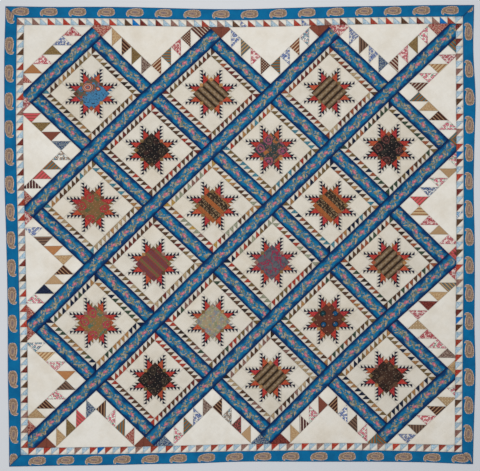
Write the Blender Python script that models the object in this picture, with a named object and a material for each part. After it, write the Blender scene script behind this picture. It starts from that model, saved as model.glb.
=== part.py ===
# Star quilt blanket lying flat, face up. Units are metres, +Z is up and +Y is the top edge of the quilt.
# The pattern is laid out on a slanting lattice of rows and strips, then placed by one slightly uneven
# mapping, so that neighbouring pieces follow the same wandering seams.
import bpy
import bmesh
import math
from mathutils import Vector

# Lattice sizes: one unit is half the distance between two stars along a row of the lattice.
SASH_HALF = 0.178
BLOCK_HALF = 0.822
FRAME_HALF = 0.685
ROW_PITCH = 2.0
ROW_COUNT = 6
FIRST_SASH_SUM = -1.0
FIELD_LEFT = -1.140
FIELD_RIGHT = 6.135
FIELD_TOP = -1.207
FIELD_BOTTOM = 6.185
BAND_LEFT = -1.258
BAND_RIGHT = 6.253
BAND_TOP = -1.330
BAND_BOTTOM = 6.308
EDGE_LEFT = -1.452
EDGE_RIGHT = 6.442
EDGE_TOP = -1.533
EDGE_BOTTOM = 6.507
SETTING_STRIP = 0.330
CORNER_REACH = 2.0
OVERRUN = 0.5

# Thicknesses in metres
SEAM_THICK = 0.0022
PUFF_THICK = 0.0041
HEM_THICK = 0.0026
SEAM_FALL = 0.020
SEAM_GAP = 0.00040
HEM_SHARE = 0.5

# Slow unevenness of the filling: how much in metres, and each roll's turns along x and y and its start
UNEVEN = 0.00015
ROLLS = (
    (7.3, 2.1, 0.0),
    (-4.7, 11.9, 1.3),
)

# Mesh steps in lattice units
FRAME_STEP = 0.23
SASH_STEP = 0.26
BORDER_STEP = 0.24

# Lattice steps along the columns and the rows in metres, and where the lattice's middle lies
COLUMN_STEP = 0.3375
ROW_STEP = 0.3245
SLANT_STEP = COLUMN_STEP * ROW_STEP / math.hypot(COLUMN_STEP, ROW_STEP)
MIDDLE_X = 0.0017
MIDDLE_Y = 0.0010

# How far each side stands off a true rectangle, in millimetres, at even stations along it: the left and right
# sides towards +X from the top down, the top and bottom sides towards +Y from the left.
SIDE_OFFSETS_MM = {
    "left": (-1, -8, 3, 13, 20),
    "right": (-4, 0, -1, 1, -8),
    "top": (-2, -8, -19, -3, 5),
    "bottom": (-5, 4, 19, 21, 9),
}

# How far the outer edge ripples beside that line, in millimetres, at even stations along it. Ripples fade out
# across the outer border.
EDGE_RIPPLES_MM = {
    "left": (0, -3, 0, 0, -3, 0, 2, 1, -2, 0, 0),
    "right": (0, -6, 5, -2, -6, 0, 0, -3, 4, 1, -2),
    "top": (0, -2, 1, 1, 0, 0, 2, 1, 0, 1, 0),
    "bottom": (-2, 0, -1, 0, -2, 2, 0, -1, 1, 3, -2),
}

# Where the lattice is pulled off its true place: column, row, millimetres towards +X, millimetres towards +Y
LATTICE_PULLS_MM = (
    (0.3, 0.3, 3, 3),
    (2.5, 0.3, 7, 7),
    (4.7, 0.3, -3, 5),
    (0.3, 2.5, 4, 6),
    (2.5, 2.5, 10, 13),
    (4.7, 2.5, 4, 1),
    (0.3, 4.7, 14, -7),
    (2.5, 4.7, -2, -6),
    (4.7, 4.7, -20, 4),
)
PULL_REACH = 1.5
MM = 0.001

CREAM = (0.78, 0.74, 0.66, 1.0)
SASH_BLUE = (0.03, 0.16, 0.42, 1.0)
BORDER_BLUE = (0.01, 0.18, 0.36, 1.0)
SAW_TONE = (0.60, 0.52, 0.46, 1.0)


def bend(offsets, share):
    # A smooth curve through offsets at even stations, read at a share of the side's length.
    last = len(offsets) - 1
    reach = min(max(share, 0.0), 1.0) * last
    index = min(int(reach), last - 1)
    part = reach - index
    before = offsets[max(index - 1, 0)]
    start = offsets[index]
    end = offsets[index + 1]
    after = offsets[min(index + 2, last)]
    slope = (end - before) * part
    curve = (2 * before - 5 * start + 4 * end - after) * part ** 2
    twist = (3 * start - before - 3 * end + after) * part ** 3
    return (2 * start + slope + curve + twist) / 2 * MM


def place(column, row):
    # The point of the cloth, in metres, at a column and row of the lattice.
    across = (column - EDGE_LEFT) / (EDGE_RIGHT - EDGE_LEFT)
    down = (row - EDGE_TOP) / (EDGE_BOTTOM - EDGE_TOP)
    x = MIDDLE_X + (column - (EDGE_LEFT + EDGE_RIGHT) / 2) * COLUMN_STEP
    y = MIDDLE_Y - (row - (EDGE_TOP + EDGE_BOTTOM) / 2) * ROW_STEP
    x += (1 - across) * bend(SIDE_OFFSETS_MM["left"], down) + across * bend(SIDE_OFFSETS_MM["right"], down)
    y += (1 - down) * bend(SIDE_OFFSETS_MM["top"], across) + down * bend(SIDE_OFFSETS_MM["bottom"], across)
    border = BAND_LEFT - EDGE_LEFT
    x += max(BAND_LEFT - column, 0.0) / border * bend(EDGE_RIPPLES_MM["left"], down)
    x += max(column - BAND_RIGHT, 0.0) / border * bend(EDGE_RIPPLES_MM["right"], down)
    y += max(BAND_TOP - row, 0.0) / border * bend(EDGE_RIPPLES_MM["top"], across)
    y += max(row - BAND_BOTTOM, 0.0) / border * bend(EDGE_RIPPLES_MM["bottom"], across)
    to_edge = min(column - EDGE_LEFT, EDGE_RIGHT - column, row - EDGE_TOP, EDGE_BOTTOM - row)
    hold = min(max(to_edge / border, 0.0), 1.0)
    for pull_column, pull_row, pull_x, pull_y in LATTICE_PULLS_MM:
        away = ((column - pull_column) ** 2 + (row - pull_row) ** 2) / PULL_REACH ** 2
        share = hold * math.exp(-away)
        x += pull_x * MM * share
        y += pull_y * MM * share
    return x, y


def spread(start, end, step):
    count = max(1, round((end - start) / step))
    return [start + (end - start) * k / count for k in range(count)]


def lines(stops, step):
    values = []
    for start, end in zip(stops, stops[1:]):
        values.extend(spread(start, end, step))
    values.append(stops[-1])
    return values


def grid_sheet(first_lines, second_lines):
    # A flat grid whose vertex coordinates are the given line values.
    mesh = bmesh.new()
    count_a = len(first_lines) - 1
    count_b = len(second_lines) - 1
    bmesh.ops.create_grid(mesh, x_segments=count_a, y_segments=count_b, size=1.0)
    for vert in mesh.verts:
        index_a = round((vert.co.x + 1.0) / 2.0 * count_a)
        index_b = round((vert.co.y + 1.0) / 2.0 * count_b)
        vert.co = Vector((first_lines[index_a], second_lines[index_b], 0.0))
    return mesh


def trim(mesh, point, normal):
    # Keeps the side of the line that the normal points away from.
    every = mesh.verts[:] + mesh.edges[:] + mesh.faces[:]
    bmesh.ops.bisect_plane(mesh, geom=every, dist=1e-5, plane_co=(point[0], point[1], 0.0),
                           plane_no=(normal[0], normal[1], 0.0), clear_outer=True)
    bmesh.ops.remove_doubles(mesh, verts=mesh.verts[:], dist=5e-5)


def drop_faces(mesh, unwanted):
    faces = [face for face in mesh.faces if unwanted(face.calc_center_median())]
    bmesh.ops.delete(mesh, geom=faces, context="FACES")


def to_columns(mesh):
    # Slanting coordinates (sum, difference) become column and row.
    for vert in mesh.verts:
        total = vert.co.x
        apart = vert.co.y
        vert.co = Vector(((total + apart) / 2.0, (total - apart) / 2.0, 0.0))


def trim_to_field(mesh):
    trim(mesh, (FIELD_LEFT, 0.0), (-1.0, 0.0))
    trim(mesh, (FIELD_RIGHT, 0.0), (1.0, 0.0))
    trim(mesh, (0.0, FIELD_TOP), (0.0, -1.0))
    trim(mesh, (0.0, FIELD_BOTTOM), (0.0, 1.0))


def hollow(distance):
    # Share of the full puff at a distance in metres from the nearest seam.
    return 1.0 - math.exp(-abs(distance) / SEAM_FALL)


def uneven(x, y):
    return UNEVEN * sum(math.sin(turn_x * x + turn_y * y + start) for turn_x, turn_y, start in ROLLS)


def finish_solid(mesh, name, colour, collection, puff):
    # Places the sheet, draws its outline in by half the seam gap, raises its face and closes it below.
    height = {}
    for vert in mesh.verts:
        column = vert.co.x
        row = vert.co.y
        x, y = place(column, row)
        share = puff(column, row)
        height[vert] = SEAM_THICK + (PUFF_THICK - SEAM_THICK + uneven(x, y)) * share
        vert.co = Vector((x, y, 0.0))
    inward = {}
    for edge in mesh.edges:
        if not edge.is_boundary:
            continue
        first, second = edge.verts
        run = (second.co - first.co).normalized()
        side = Vector((-run.y, run.x, 0.0))
        middle = (first.co + second.co) / 2.0
        if side.dot(edge.link_faces[0].calc_center_median() - middle) < 0.0:
            side = -side
        inward.setdefault(first, []).append(side)
        inward.setdefault(second, []).append(side)
    for vert, sides in inward.items():
        total = sides[0] + sides[1]
        vert.co += total * (SEAM_GAP / 2.0) / (1.0 + sides[0].dot(sides[1]))
    for vert, value in height.items():
        vert.co.z = value
    lower = mesh.verts[:]
    bmesh.ops.extrude_face_region(mesh, geom=mesh.faces[:])
    for vert in lower:
        vert.co.z = 0.0
    bmesh.ops.recalc_face_normals(mesh, faces=mesh.faces[:])
    bmesh.ops.triangulate(mesh, faces=mesh.faces[:])
    data = bpy.data.meshes.new(name)
    mesh.to_mesh(data)
    mesh.free()
    thing = bpy.data.objects.new(name, data)
    material = bpy.data.materials.new(name + "_cloth")
    material.use_nodes = True
    shader = material.node_tree.nodes["Principled BSDF"]
    shader.inputs["Base Color"].default_value = colour
    shader.inputs["Roughness"].default_value = 0.9
    material.diffuse_color = colour
    data.materials.append(material)
    collection.objects.link(thing)


def row_reach(index):
    # How far from the middle diagonal the short strips of a row, and the long strip beside it, run.
    place_in_half = min(index, ROW_COUNT - 1 - index)
    return 1.0 + ROW_PITCH * place_in_half + SASH_HALF


def row_puff(middle, reach, strip_side):
    def puff(column, row):
        total = column + row - middle
        apart = abs(column - row)
        seams = [FIELD_RIGHT - column, column - FIELD_LEFT, row - FIELD_TOP, FIELD_BOTTOM - row]
        seams.append(abs(total) - BLOCK_HALF)
        if apart <= reach:
            from_sash = abs(apart % ROW_PITCH - 1.0)
            seams.extend((from_sash - SASH_HALF, apart - reach))
            if from_sash > SASH_HALF:
                seams.extend((abs(total) - FRAME_HALF, 1.0 - from_sash - FRAME_HALF))
        else:
            seams.extend((apart - reach, apart - reach - SETTING_STRIP))
            seams.append(strip_side * total - BLOCK_HALF + SETTING_STRIP)
        return hollow(min(abs(seam) for seam in seams) * SLANT_STEP)
    return puff


def sash_puff(middle):
    def puff(column, row):
        return hollow((SASH_HALF - abs(column + row - middle)) * SLANT_STEP)
    return puff


def corner_puff(outer_sum):
    def puff(column, row):
        away = abs(column + row - outer_sum)
        seams = [column - FIELD_LEFT, FIELD_RIGHT - column, row - FIELD_TOP, FIELD_BOTTOM - row]
        seams.extend((away, away - SETTING_STRIP))
        return hollow(min(abs(seam) for seam in seams) * SLANT_STEP)
    return puff


def band_puff(low_column, high_column, low_row, high_row):
    def puff(column, row):
        to_side = min(abs(column - low_column), abs(high_column - column)) * COLUMN_STEP
        to_end = min(abs(row - low_row), abs(high_row - row)) * ROW_STEP
        return hollow(min(to_side, to_end))
    return puff


def border_puff(column, row):
    outside = max(BAND_LEFT - column, column - BAND_RIGHT, BAND_TOP - row, row - BAND_BOTTOM)
    width = BAND_LEFT - EDGE_LEFT
    if outside < HEM_SHARE * width:
        return hollow(outside * COLUMN_STEP)
    hem = (HEM_THICK - SEAM_THICK) / (PUFF_THICK - SEAM_THICK)
    return max(hollow((width - outside) * COLUMN_STEP), hem)


def block_rows(collection):
    block = (-BLOCK_HALF, -FRAME_HALF, FRAME_HALF, BLOCK_HALF)
    far = FIELD_RIGHT - FIELD_TOP + OVERRUN
    for index in range(ROW_COUNT):
        middle = ROW_PITCH * index
        reach = row_reach(index)
        low = middle - BLOCK_HALF
        high = middle + BLOCK_HALF
        star_reach = reach - SASH_HALF - 1.0
        stars = [-star_reach + ROW_PITCH * k for k in range(round(star_reach) + 1)]
        stops = [star + value for star in stars for value in block]
        inner = lines([-reach] + stops + [reach], FRAME_STEP)
        outer = lines([reach, reach + SETTING_STRIP, far], SASH_STEP)
        second = [-value for value in reversed(outer[1:])] + inner + outer[1:]
        first = lines([middle + value for value in block], FRAME_STEP)
        # The setting triangles at a row's ends also fill the notch past the end of the shorter long strip.
        if index < ROW_COUNT / 2:
            first = [low - ROW_PITCH * SASH_HALF] + first
            strip_side = 1.0
        else:
            first = first + [high + ROW_PITCH * SASH_HALF]
            strip_side = -1.0
        mesh = grid_sheet(first, second)

        def in_long_sash(point, low=low, high=high, reach=reach):
            return not low < point.x < high and abs(point.y) < reach

        drop_faces(mesh, in_long_sash)
        to_columns(mesh)
        trim_to_field(mesh)
        puff = row_puff(middle, reach, strip_side)
        finish_solid(mesh, "block_row_%d" % (index + 1), CREAM, collection, puff)


def long_sashes(collection):
    for index in range(ROW_COUNT + 1):
        middle = FIRST_SASH_SUM + ROW_PITCH * index
        beside = min(index, ROW_COUNT - index)
        reach = row_reach(beside)
        if beside == ROW_COUNT // 2:
            reach = FIELD_RIGHT - FIELD_TOP + OVERRUN
        first = lines([middle - SASH_HALF, middle, middle + SASH_HALF], SASH_HALF)
        second = lines([-reach, reach], SASH_STEP)
        mesh = grid_sheet(first, second)
        to_columns(mesh)
        trim_to_field(mesh)
        finish_solid(mesh, "long_sash_%d" % (index + 1), SASH_BLUE, collection, sash_puff(middle))


def corner_triangles(collection):
    top_sum = FIRST_SASH_SUM - SASH_HALF
    bottom_sum = FIRST_SASH_SUM + ROW_PITCH * ROW_COUNT + SASH_HALF
    specs = (
        ("corner_triangle_top_left", top_sum, -1.0),
        ("corner_triangle_bottom_right", bottom_sum, 1.0),
    )
    for name, outer_sum, way in specs:
        away = lines([0.0, SETTING_STRIP, CORNER_REACH], SASH_STEP)
        first = sorted(outer_sum + way * value for value in away)
        second = lines([-CORNER_REACH, CORNER_REACH], SASH_STEP)
        mesh = grid_sheet(first, second)
        to_columns(mesh)
        trim_to_field(mesh)
        finish_solid(mesh, name, CREAM, collection, corner_puff(outer_sum))


def sawtooth_borders(collection):
    specs = (
        ("sawtooth_border_top", BAND_LEFT, BAND_RIGHT, BAND_TOP, FIELD_TOP),
        ("sawtooth_border_bottom", BAND_LEFT, BAND_RIGHT, FIELD_BOTTOM, BAND_BOTTOM),
        ("sawtooth_border_left", BAND_LEFT, FIELD_LEFT, FIELD_TOP, FIELD_BOTTOM),
        ("sawtooth_border_right", FIELD_RIGHT, BAND_RIGHT, FIELD_TOP, FIELD_BOTTOM),
    )
    for name, left, right, top, bottom in specs:
        thin = min(right - left, bottom - top) / 2.0
        across = lines([left, right], BORDER_STEP if right - left > 1.0 else thin)
        down = lines([top, bottom], BORDER_STEP if bottom - top > 1.0 else thin)
        mesh = grid_sheet(across, down)
        finish_solid(mesh, name, SAW_TONE, collection, band_puff(left, right, top, bottom))


def paisley_borders(collection):
    corner_cuts = {
        "top": (("left", "top"), ("right", "top")),
        "right": (("right", "top"), ("right", "bottom")),
        "bottom": (("left", "bottom"), ("right", "bottom")),
        "left": (("left", "top"), ("left", "bottom")),
    }
    inner = {"left": BAND_LEFT, "right": BAND_RIGHT, "top": BAND_TOP, "bottom": BAND_BOTTOM}
    outer = {"left": EDGE_LEFT, "right": EDGE_RIGHT, "top": EDGE_TOP, "bottom": EDGE_BOTTOM}
    centre = ((EDGE_LEFT + EDGE_RIGHT) / 2.0, (EDGE_TOP + EDGE_BOTTOM) / 2.0)
    for side, cuts in corner_cuts.items():
        wide = side in ("top", "bottom")
        low, high = sorted((inner[side], outer[side]))
        depth = lines([low, high], (high - low) / 3.0)
        if wide:
            length = lines([EDGE_LEFT, BAND_LEFT, BAND_RIGHT, EDGE_RIGHT], BORDER_STEP)
            mesh = grid_sheet(length, depth)
            middle = (centre[0], (low + high) / 2.0)
        else:
            length = lines([EDGE_TOP, BAND_TOP, BAND_BOTTOM, EDGE_BOTTOM], BORDER_STEP)
            mesh = grid_sheet(depth, length)
            middle = ((low + high) / 2.0, centre[1])
        for part_x, part_y in cuts:
            inside = Vector((inner[part_x], inner[part_y]))
            mitre = Vector((outer[part_x], outer[part_y])) - inside
            normal = Vector((-mitre.y, mitre.x))
            if normal.dot(Vector(middle) - inside) > 0.0:
                normal = -normal
            trim(mesh, inside, normal)
        finish_solid(mesh, "paisley_border_" + side, BORDER_BLUE, collection, border_puff)


def main():
    for thing in list(bpy.data.objects):
        bpy.data.objects.remove(thing, do_unlink=True)
    collection = bpy.data.collections.new("star_quilt_blanket")
    bpy.context.scene.collection.children.link(collection)
    block_rows(collection)
    long_sashes(collection)
    corner_triangles(collection)
    sawtooth_borders(collection)
    paisley_borders(collection)


main()
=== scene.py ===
# Star quilt blanket lying flat, face up: the looks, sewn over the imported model.
# Metres, +Z up, +Y the top edge of the quilt. Seams follow the same slanting lattice as the model.
import bpy
import math
import numpy as np
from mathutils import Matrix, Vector
from mathutils.geometry import delaunay_2d_cdt


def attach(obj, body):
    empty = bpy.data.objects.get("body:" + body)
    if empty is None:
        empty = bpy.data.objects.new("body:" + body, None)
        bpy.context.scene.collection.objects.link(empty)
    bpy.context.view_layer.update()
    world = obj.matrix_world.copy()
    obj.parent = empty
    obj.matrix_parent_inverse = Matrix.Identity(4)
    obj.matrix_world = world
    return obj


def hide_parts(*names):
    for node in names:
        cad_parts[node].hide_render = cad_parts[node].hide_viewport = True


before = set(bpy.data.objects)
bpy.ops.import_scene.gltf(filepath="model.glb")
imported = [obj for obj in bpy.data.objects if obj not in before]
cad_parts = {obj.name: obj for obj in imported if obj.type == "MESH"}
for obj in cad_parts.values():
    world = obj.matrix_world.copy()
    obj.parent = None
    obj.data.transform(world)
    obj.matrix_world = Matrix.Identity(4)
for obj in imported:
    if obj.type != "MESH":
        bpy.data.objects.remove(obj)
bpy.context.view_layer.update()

scene = bpy.context.scene
mm = 0.001
print("frame loaded:", len(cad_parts), "nodes")

# Layout

layout = {
    "sashHalf": 0.178,
    "blockHalf": 0.822,
    "rowCount": 6,
    "field": (-1.140, 6.135, -1.207, 6.185),    # left and right columns, top and bottom rows
    "band": (-1.258, 6.253, -1.330, 6.308),
    "edge": (-1.452, 6.442, -1.533, 6.507),
    "settingStrip": 0.330,
    "columnStep": 0.3375,
    "rowStep": 0.3245,
    "middle": (0.0017, 0.0010),
}
unit = layout["blockHalf"] / 6                    # one small square of a block's frame, in lattice steps
slantStep = layout["columnStep"] * layout["rowStep"] / math.hypot(layout["columnStep"], layout["rowStep"])
unitSize = unit * slantStep
sash = layout["sashHalf"] / unit
strip = layout["settingStrip"] / unit

# Millimetres that the edges, the borders' seams and the lattice lie off an even one, as the model has them
wander = {
    "left": (-1, -8, 3, 13, 20),
    "right": (-4, 0, -1, 1, -8),
    "top": (-2, -8, -19, -3, 5),
    "bottom": (-5, 4, 19, 21, 9),
}
ripple = {
    "left": (0, -3, 0, 0, -3, 0, 2, 1, -2, 0, 0),
    "right": (0, -6, 5, -2, -6, 0, 0, -3, 4, 1, -2),
    "top": (0, -2, 1, 1, 0, 0, 2, 1, 0, 1, 0),
    "bottom": (-2, 0, -1, 0, -2, 2, 0, -1, 1, 3, -2),
}
pulls = (
    (0.3, 0.3, 3, 3),
    (2.5, 0.3, 7, 7),
    (4.7, 0.3, -3, 5),
    (0.3, 2.5, 4, 6),
    (2.5, 2.5, 10, 13),
    (4.7, 2.5, 4, 1),
    (0.3, 4.7, 14, -7),
    (2.5, 4.7, -2, -6),
    (4.7, 4.7, -20, 4),
)
pullReach = 1.5


def bend(offsets, share):
    # A smooth curve through offsets at even stations, as the model has it.
    last = len(offsets) - 1
    values = np.array(offsets, float)
    reach = np.clip(share, 0.0, 1.0) * last
    index = np.minimum(reach.astype(int), last - 1)
    part = reach - index
    before = values[np.maximum(index - 1, 0)]
    start = values[index]
    end = values[index + 1]
    after = values[np.minimum(index + 2, last)]
    slope = (end - before) * part
    curve = (2 * before - 5 * start + 4 * end - after) * part ** 2
    twist = (3 * start - before - 3 * end + after) * part ** 3
    return (2 * start + slope + curve + twist) / 2 * mm


def place(column, row):
    # Where a lattice point lies on the cloth, in metres.
    left, right, top, bottom = layout["edge"]
    bandLeft, bandRight, bandTop, bandBottom = layout["band"]
    across = (column - left) / (right - left)
    down = (row - top) / (bottom - top)
    x = layout["middle"][0] + (column - (left + right) / 2) * layout["columnStep"]
    y = layout["middle"][1] - (row - (top + bottom) / 2) * layout["rowStep"]
    x = x + (1 - across) * bend(wander["left"], down) + across * bend(wander["right"], down)
    y = y + (1 - down) * bend(wander["top"], across) + down * bend(wander["bottom"], across)
    border = bandLeft - left
    x = x + np.maximum(bandLeft - column, 0) / border * bend(ripple["left"], down)
    x = x + np.maximum(column - bandRight, 0) / border * bend(ripple["right"], down)
    y = y + np.maximum(bandTop - row, 0) / border * bend(ripple["top"], across)
    y = y + np.maximum(row - bandBottom, 0) / border * bend(ripple["bottom"], across)
    toEdge = np.minimum(np.minimum(column - left, right - column), np.minimum(row - top, bottom - row))
    hold = np.clip(toEdge / border, 0.0, 1.0)
    for pullColumn, pullRow, pullX, pullY in pulls:
        away = ((column - pullColumn) ** 2 + (row - pullRow) ** 2) / pullReach ** 2
        share = hold * np.exp(-away)
        x = x + pullX * mm * share
        y = y + pullY * mm * share
    return x, y


def slantToLattice(points):
    # Row coordinates, in frame squares along the sum and the difference, become column and row.
    total = points[:, 0] * unit
    apart = points[:, 1] * unit
    return (total + apart) / 2, (total - apart) / 2


def squareToLattice(points):
    # Border coordinates run with the columns and up the rows, counted in frame squares.
    return points[:, 0] * unitSize / layout["columnStep"], -points[:, 1] * unitSize / layout["rowStep"]


# Cloths: kind of print, then ground, figure and accent as seen colours

cloths = {
    "muslin": ("muslin", (231, 226, 215), (222, 215, 201), (206, 198, 182)),
    # The star blocks' muslin is the same cloth as muslin, painted darker as painted shade of their heavy
    # quilting
    "starMuslin": ("muslin", (219, 212, 198), (208, 200, 184), (190, 181, 163)),
    "feather": ("dyed", (24, 27, 46), (44, 46, 66), (14, 16, 30)),
    "redCalico": ("calico", (166, 42, 42), (186, 74, 56), (112, 26, 34)),
    "orangeCalico": ("calico", (172, 62, 44), (190, 98, 60), (132, 34, 38)),
    "crimsonCalico": ("calico", (164, 34, 46), (186, 76, 68), (108, 22, 36)),
    "blackBrown": ("dyed", (50, 38, 32), (76, 60, 48), (30, 24, 22)),
    "darkBrown": ("calico", (76, 50, 38), (112, 82, 58), (52, 34, 28)),
    "oliveBrown": ("calico", (112, 88, 54), (140, 116, 76), (74, 58, 38)),
    "caramel": ("calico", (168, 118, 70), (192, 148, 98), (120, 78, 46)),
    "tan": ("calico", (180, 152, 114), (200, 178, 142), (140, 110, 78)),
    "rust": ("calico", (146, 72, 48), (176, 104, 70), (98, 46, 34)),
    "brick": ("calico", (150, 50, 38), (172, 86, 66), (104, 34, 30)),
    "burgundy": ("calico", (96, 36, 34), (134, 66, 54), (62, 24, 24)),
    "madder": ("calico", (168, 48, 40), (190, 84, 62), (110, 34, 32)),
    "mauve": ("calico", (134, 96, 86), (162, 124, 110), (96, 62, 56)),
    "forest": ("calico", (48, 66, 54), (84, 100, 76), (30, 40, 34)),
    "teal": ("calico", (56, 122, 142), (104, 156, 168), (32, 82, 104)),
    "mustard": ("calico", (186, 144, 66), (208, 174, 104), (130, 92, 40)),
    "sage": ("calico", (146, 148, 122), (176, 176, 152), (108, 110, 88)),
    "navy": ("dyed", (22, 30, 52), (44, 54, 80), (14, 18, 34)),
    "skyPrint": ("calico", (150, 181, 200), (198, 211, 215), (108, 150, 180)),
    "brightBlue": ("dyed", (12, 104, 176), (40, 126, 190), (6, 74, 140)),
    "whiteSky": ("sprigs", (228, 224, 214), (92, 150, 190), (44, 96, 150)),
    "whiteCrimson": ("sprigs", (224, 214, 204), (156, 30, 54), (196, 84, 96)),
    "whiteBlue": ("sprigs", (226, 222, 212), (38, 82, 150), (120, 120, 130)),
    "whiteNavy": ("sprigs", (224, 222, 212), (20, 56, 110), (44, 100, 160)),
    "whitePink": ("sprigs", (230, 224, 212), (200, 72, 104), (64, 122, 94)),
    "whiteBrown": ("sprigs", (228, 220, 206), (124, 92, 66), (54, 110, 130)),
    "whiteTeal": ("sprigs", (228, 222, 210), (40, 112, 132), (142, 84, 90)),
    "crimsonWhite": ("sprigs", (216, 196, 186), (150, 34, 50), (170, 56, 66)),
    "redFloral": ("calico", (142, 42, 42), (200, 158, 138), (104, 30, 34)),
    "navyFloral": ("calico", (28, 50, 92), (150, 156, 150), (40, 90, 140)),
    "darkFloral": ("calico", (36, 44, 40), (168, 74, 74), (58, 84, 62)),
    "stoneFloral": ("calico", (92, 66, 60), (166, 146, 130), (64, 44, 42)),
    "caramelPlain": ("dyed", (166, 112, 70), (180, 130, 86), (140, 92, 56)),
    "rustPlain": ("dyed", (118, 64, 50), (136, 80, 62), (92, 48, 38)),
    "tanPlain": ("dyed", (176, 142, 104), (190, 160, 124), (150, 116, 82)),
    "tanPrint": ("calico", (182, 152, 112), (158, 122, 84), (206, 186, 152)),
    "burgundyStripe": ("stripes", (66, 32, 32), (206, 190, 168), (110, 66, 54)),
    "burgundyFine": ("stripes", (74, 30, 32), (222, 210, 192), (74, 30, 32)),
    "brownTealStripe": ("stripes", (112, 70, 42), (30, 120, 128), (150, 104, 62)),
    "pinkBrownStripe": ("stripes", (200, 74, 84), (116, 86, 54), (206, 96, 98)),
    "darkTanStripe": ("stripes", (70, 40, 32), (170, 134, 100), (60, 34, 28)),
    "tanStripe": ("stripes", (184, 150, 108), (136, 86, 52), (204, 178, 138)),
    "brownCreamStripe": ("stripes", (128, 74, 48), (214, 192, 160), (104, 56, 38)),
    "oliveTealStripe": ("stripes", (128, 98, 62), (44, 92, 110), (176, 150, 112)),
    "greyBrownStripe": ("stripes", (100, 74, 62), (58, 42, 36), (134, 108, 88)),
    "brownCheck": ("check", (68, 40, 34), (214, 196, 170), (110, 70, 54)),
    "tanCheck": ("check", (178, 150, 112), (212, 196, 164), (140, 110, 76)),
    "blueChintz": ("scroll", (66, 122, 160), (140, 72, 56), (84, 86, 74)),
    "ombreStripe": ("ombre", (104, 82, 58), (42, 31, 24), (140, 118, 90)),
    "blackChintz": ("chintz", (26, 24, 25), (58, 50, 40), (56, 38, 34)),
    "blackRedChintz": ("chintz", (28, 26, 27), (92, 54, 50), (46, 44, 40)),
    "tealChintz": ("chintz", (46, 60, 60), (138, 72, 96), (158, 98, 54)),
    "meadowChintz": ("chintz", (122, 90, 56), (160, 48, 54), (84, 92, 58)),
    "orangeBands": ("bands", (160, 92, 50), (54, 41, 32), (138, 114, 84)),
    "brickDiaper": ("diaper", (116, 56, 56), (104, 90, 58), (98, 54, 84)),
    "greyVein": ("veins", (92, 94, 99), (138, 42, 68), (74, 76, 86)),
    "goldChintz": ("chintz", (134, 100, 56), (162, 56, 68), (80, 106, 86)),
    "stonePrint": ("mottle", (152, 142, 112), (116, 124, 138), (166, 130, 100)),
    "medallions": ("medallions", (92, 52, 40), (22, 54, 60), (150, 112, 88)),
    "barkPrint": ("chintz", (58, 40, 32), (38, 30, 26), (88, 66, 50)),
}
toneNames = ("ground", "figure", "accent")


def seen(colour):
    # A colour as seen, 0 to 255, as the linear light that shaders mix.
    shares = np.array(colour, float) / 255
    return np.where(shares <= 0.04045, shares / 12.92, ((shares + 0.055) / 1.055) ** 2.4)


def linear(colour):
    return tuple(float(value) for value in seen(colour))


chance = np.random.RandomState(1840)


def newPatch(corners, cloth, turn=0.0, local=None, steady=False):
    # One cut piece of cloth: its corners, its cloth, and how the print is turned on it.
    shift = (0.0, 0.0) if steady else tuple(chance.uniform(-3, 3, 2))
    spread = 0.025 if "uslin" in cloth else 0.10
    fade = 1.0 if steady else 1.0 + chance.uniform(-spread, spread)
    return {"corners": np.array(corners, float), "cloth": cloth, "turn": turn, "shift": shift, "fade": fade,
            "local": local, "printed": False}


# Sewing: patches become one closed mesh with sunk seams and quilting

relief = {
    "seam": 2.2 * mm,
    "puff": 4.25 * mm,
    "hem": 1.5 * mm,
    "seamFall": 6.5 * mm,
    "quiltFall": 5.0 * mm,
    "quiltDepth": 0.50,
    "stitchLift": 0.10 * mm,
    # Slow waves over the whole cloth: turns across and up, start, height in millimetres
    "rolls": ((7.3, 2.1, 0.0, 0.10), (-4.7, 11.9, 1.3, 0.10), (41.0, -17.0, 0.4, 0.05),
              (19.0, 53.0, 2.2, 0.05)),
}
meshing = {
    # In frame squares
    "edgeStep": 1.0,
    "seamOffset": 0.13,        # rows of points beside a seam and a quilting line
    "quiltOffset": 0.14,
    "guideGrain": 0.06,        # guides nearer than this are one
    "fillStep": 0.62,          # the grid between them, and the room it keeps, as shares of its step
    "fillShift": 0.37,
    "fillRoom": 0.55,
    "drawnRoom": 0.30,
    "pathStep": 0.40,
    "farAway": 1e3,
}
guideRoom = 0.9                # a guide may stand this share of its offset from any line


def insidePolygon(points, corners):
    # Even-odd test of many points in one outline.
    result = np.zeros(len(points), bool)
    x, y = points[:, 0], points[:, 1]
    for first, second in zip(corners, np.roll(corners, -1, axis=0)):
        if first[1] == second[1]:
            continue
        between = (first[1] > y) != (second[1] > y)
        crossing = first[0] + (y - first[1]) / (second[1] - first[1]) * (second[0] - first[0])
        result ^= between & (x < crossing)
    return result


def distanceTo(points, segments):
    # The distance of each point from the nearest of many straight seams.
    if len(segments) == 0:
        return np.full(len(points), meshing["farAway"])
    starts = segments[:, 0]
    runs = segments[:, 1] - starts
    lengths = np.maximum((runs ** 2).sum(1), 1e-12)
    result = np.empty(len(points))
    for begin in range(0, len(points), 2000):
        offsets = points[begin:begin + 2000, None, :] - starts[None]
        share = np.clip((offsets * runs).sum(2) / lengths, 0, 1)
        gaps = offsets - share[..., None] * runs
        result[begin:begin + 2000] = np.sqrt((gaps ** 2).sum(2).min(1))
    return result


def splitSegments(segments):
    # Long seams are cut into even short stretches.
    if not len(segments):
        return np.zeros((0, 2, 2))
    pieces = []
    for start, end in segments:
        count = max(1, int(round(np.linalg.norm(end - start) / meshing["edgeStep"])))
        stops = [start + (end - start) * k / count for k in range(count + 1)]
        pieces.extend(zip(stops, stops[1:]))
    return np.array(pieces)


def uniqueRows(points, grain):
    # The points without those that fall on the same spot.
    keys = np.round(points / grain).astype(np.int64)
    chosen = np.unique(keys, axis=0, return_index=True)[1]
    return points[np.sort(chosen)]


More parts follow.
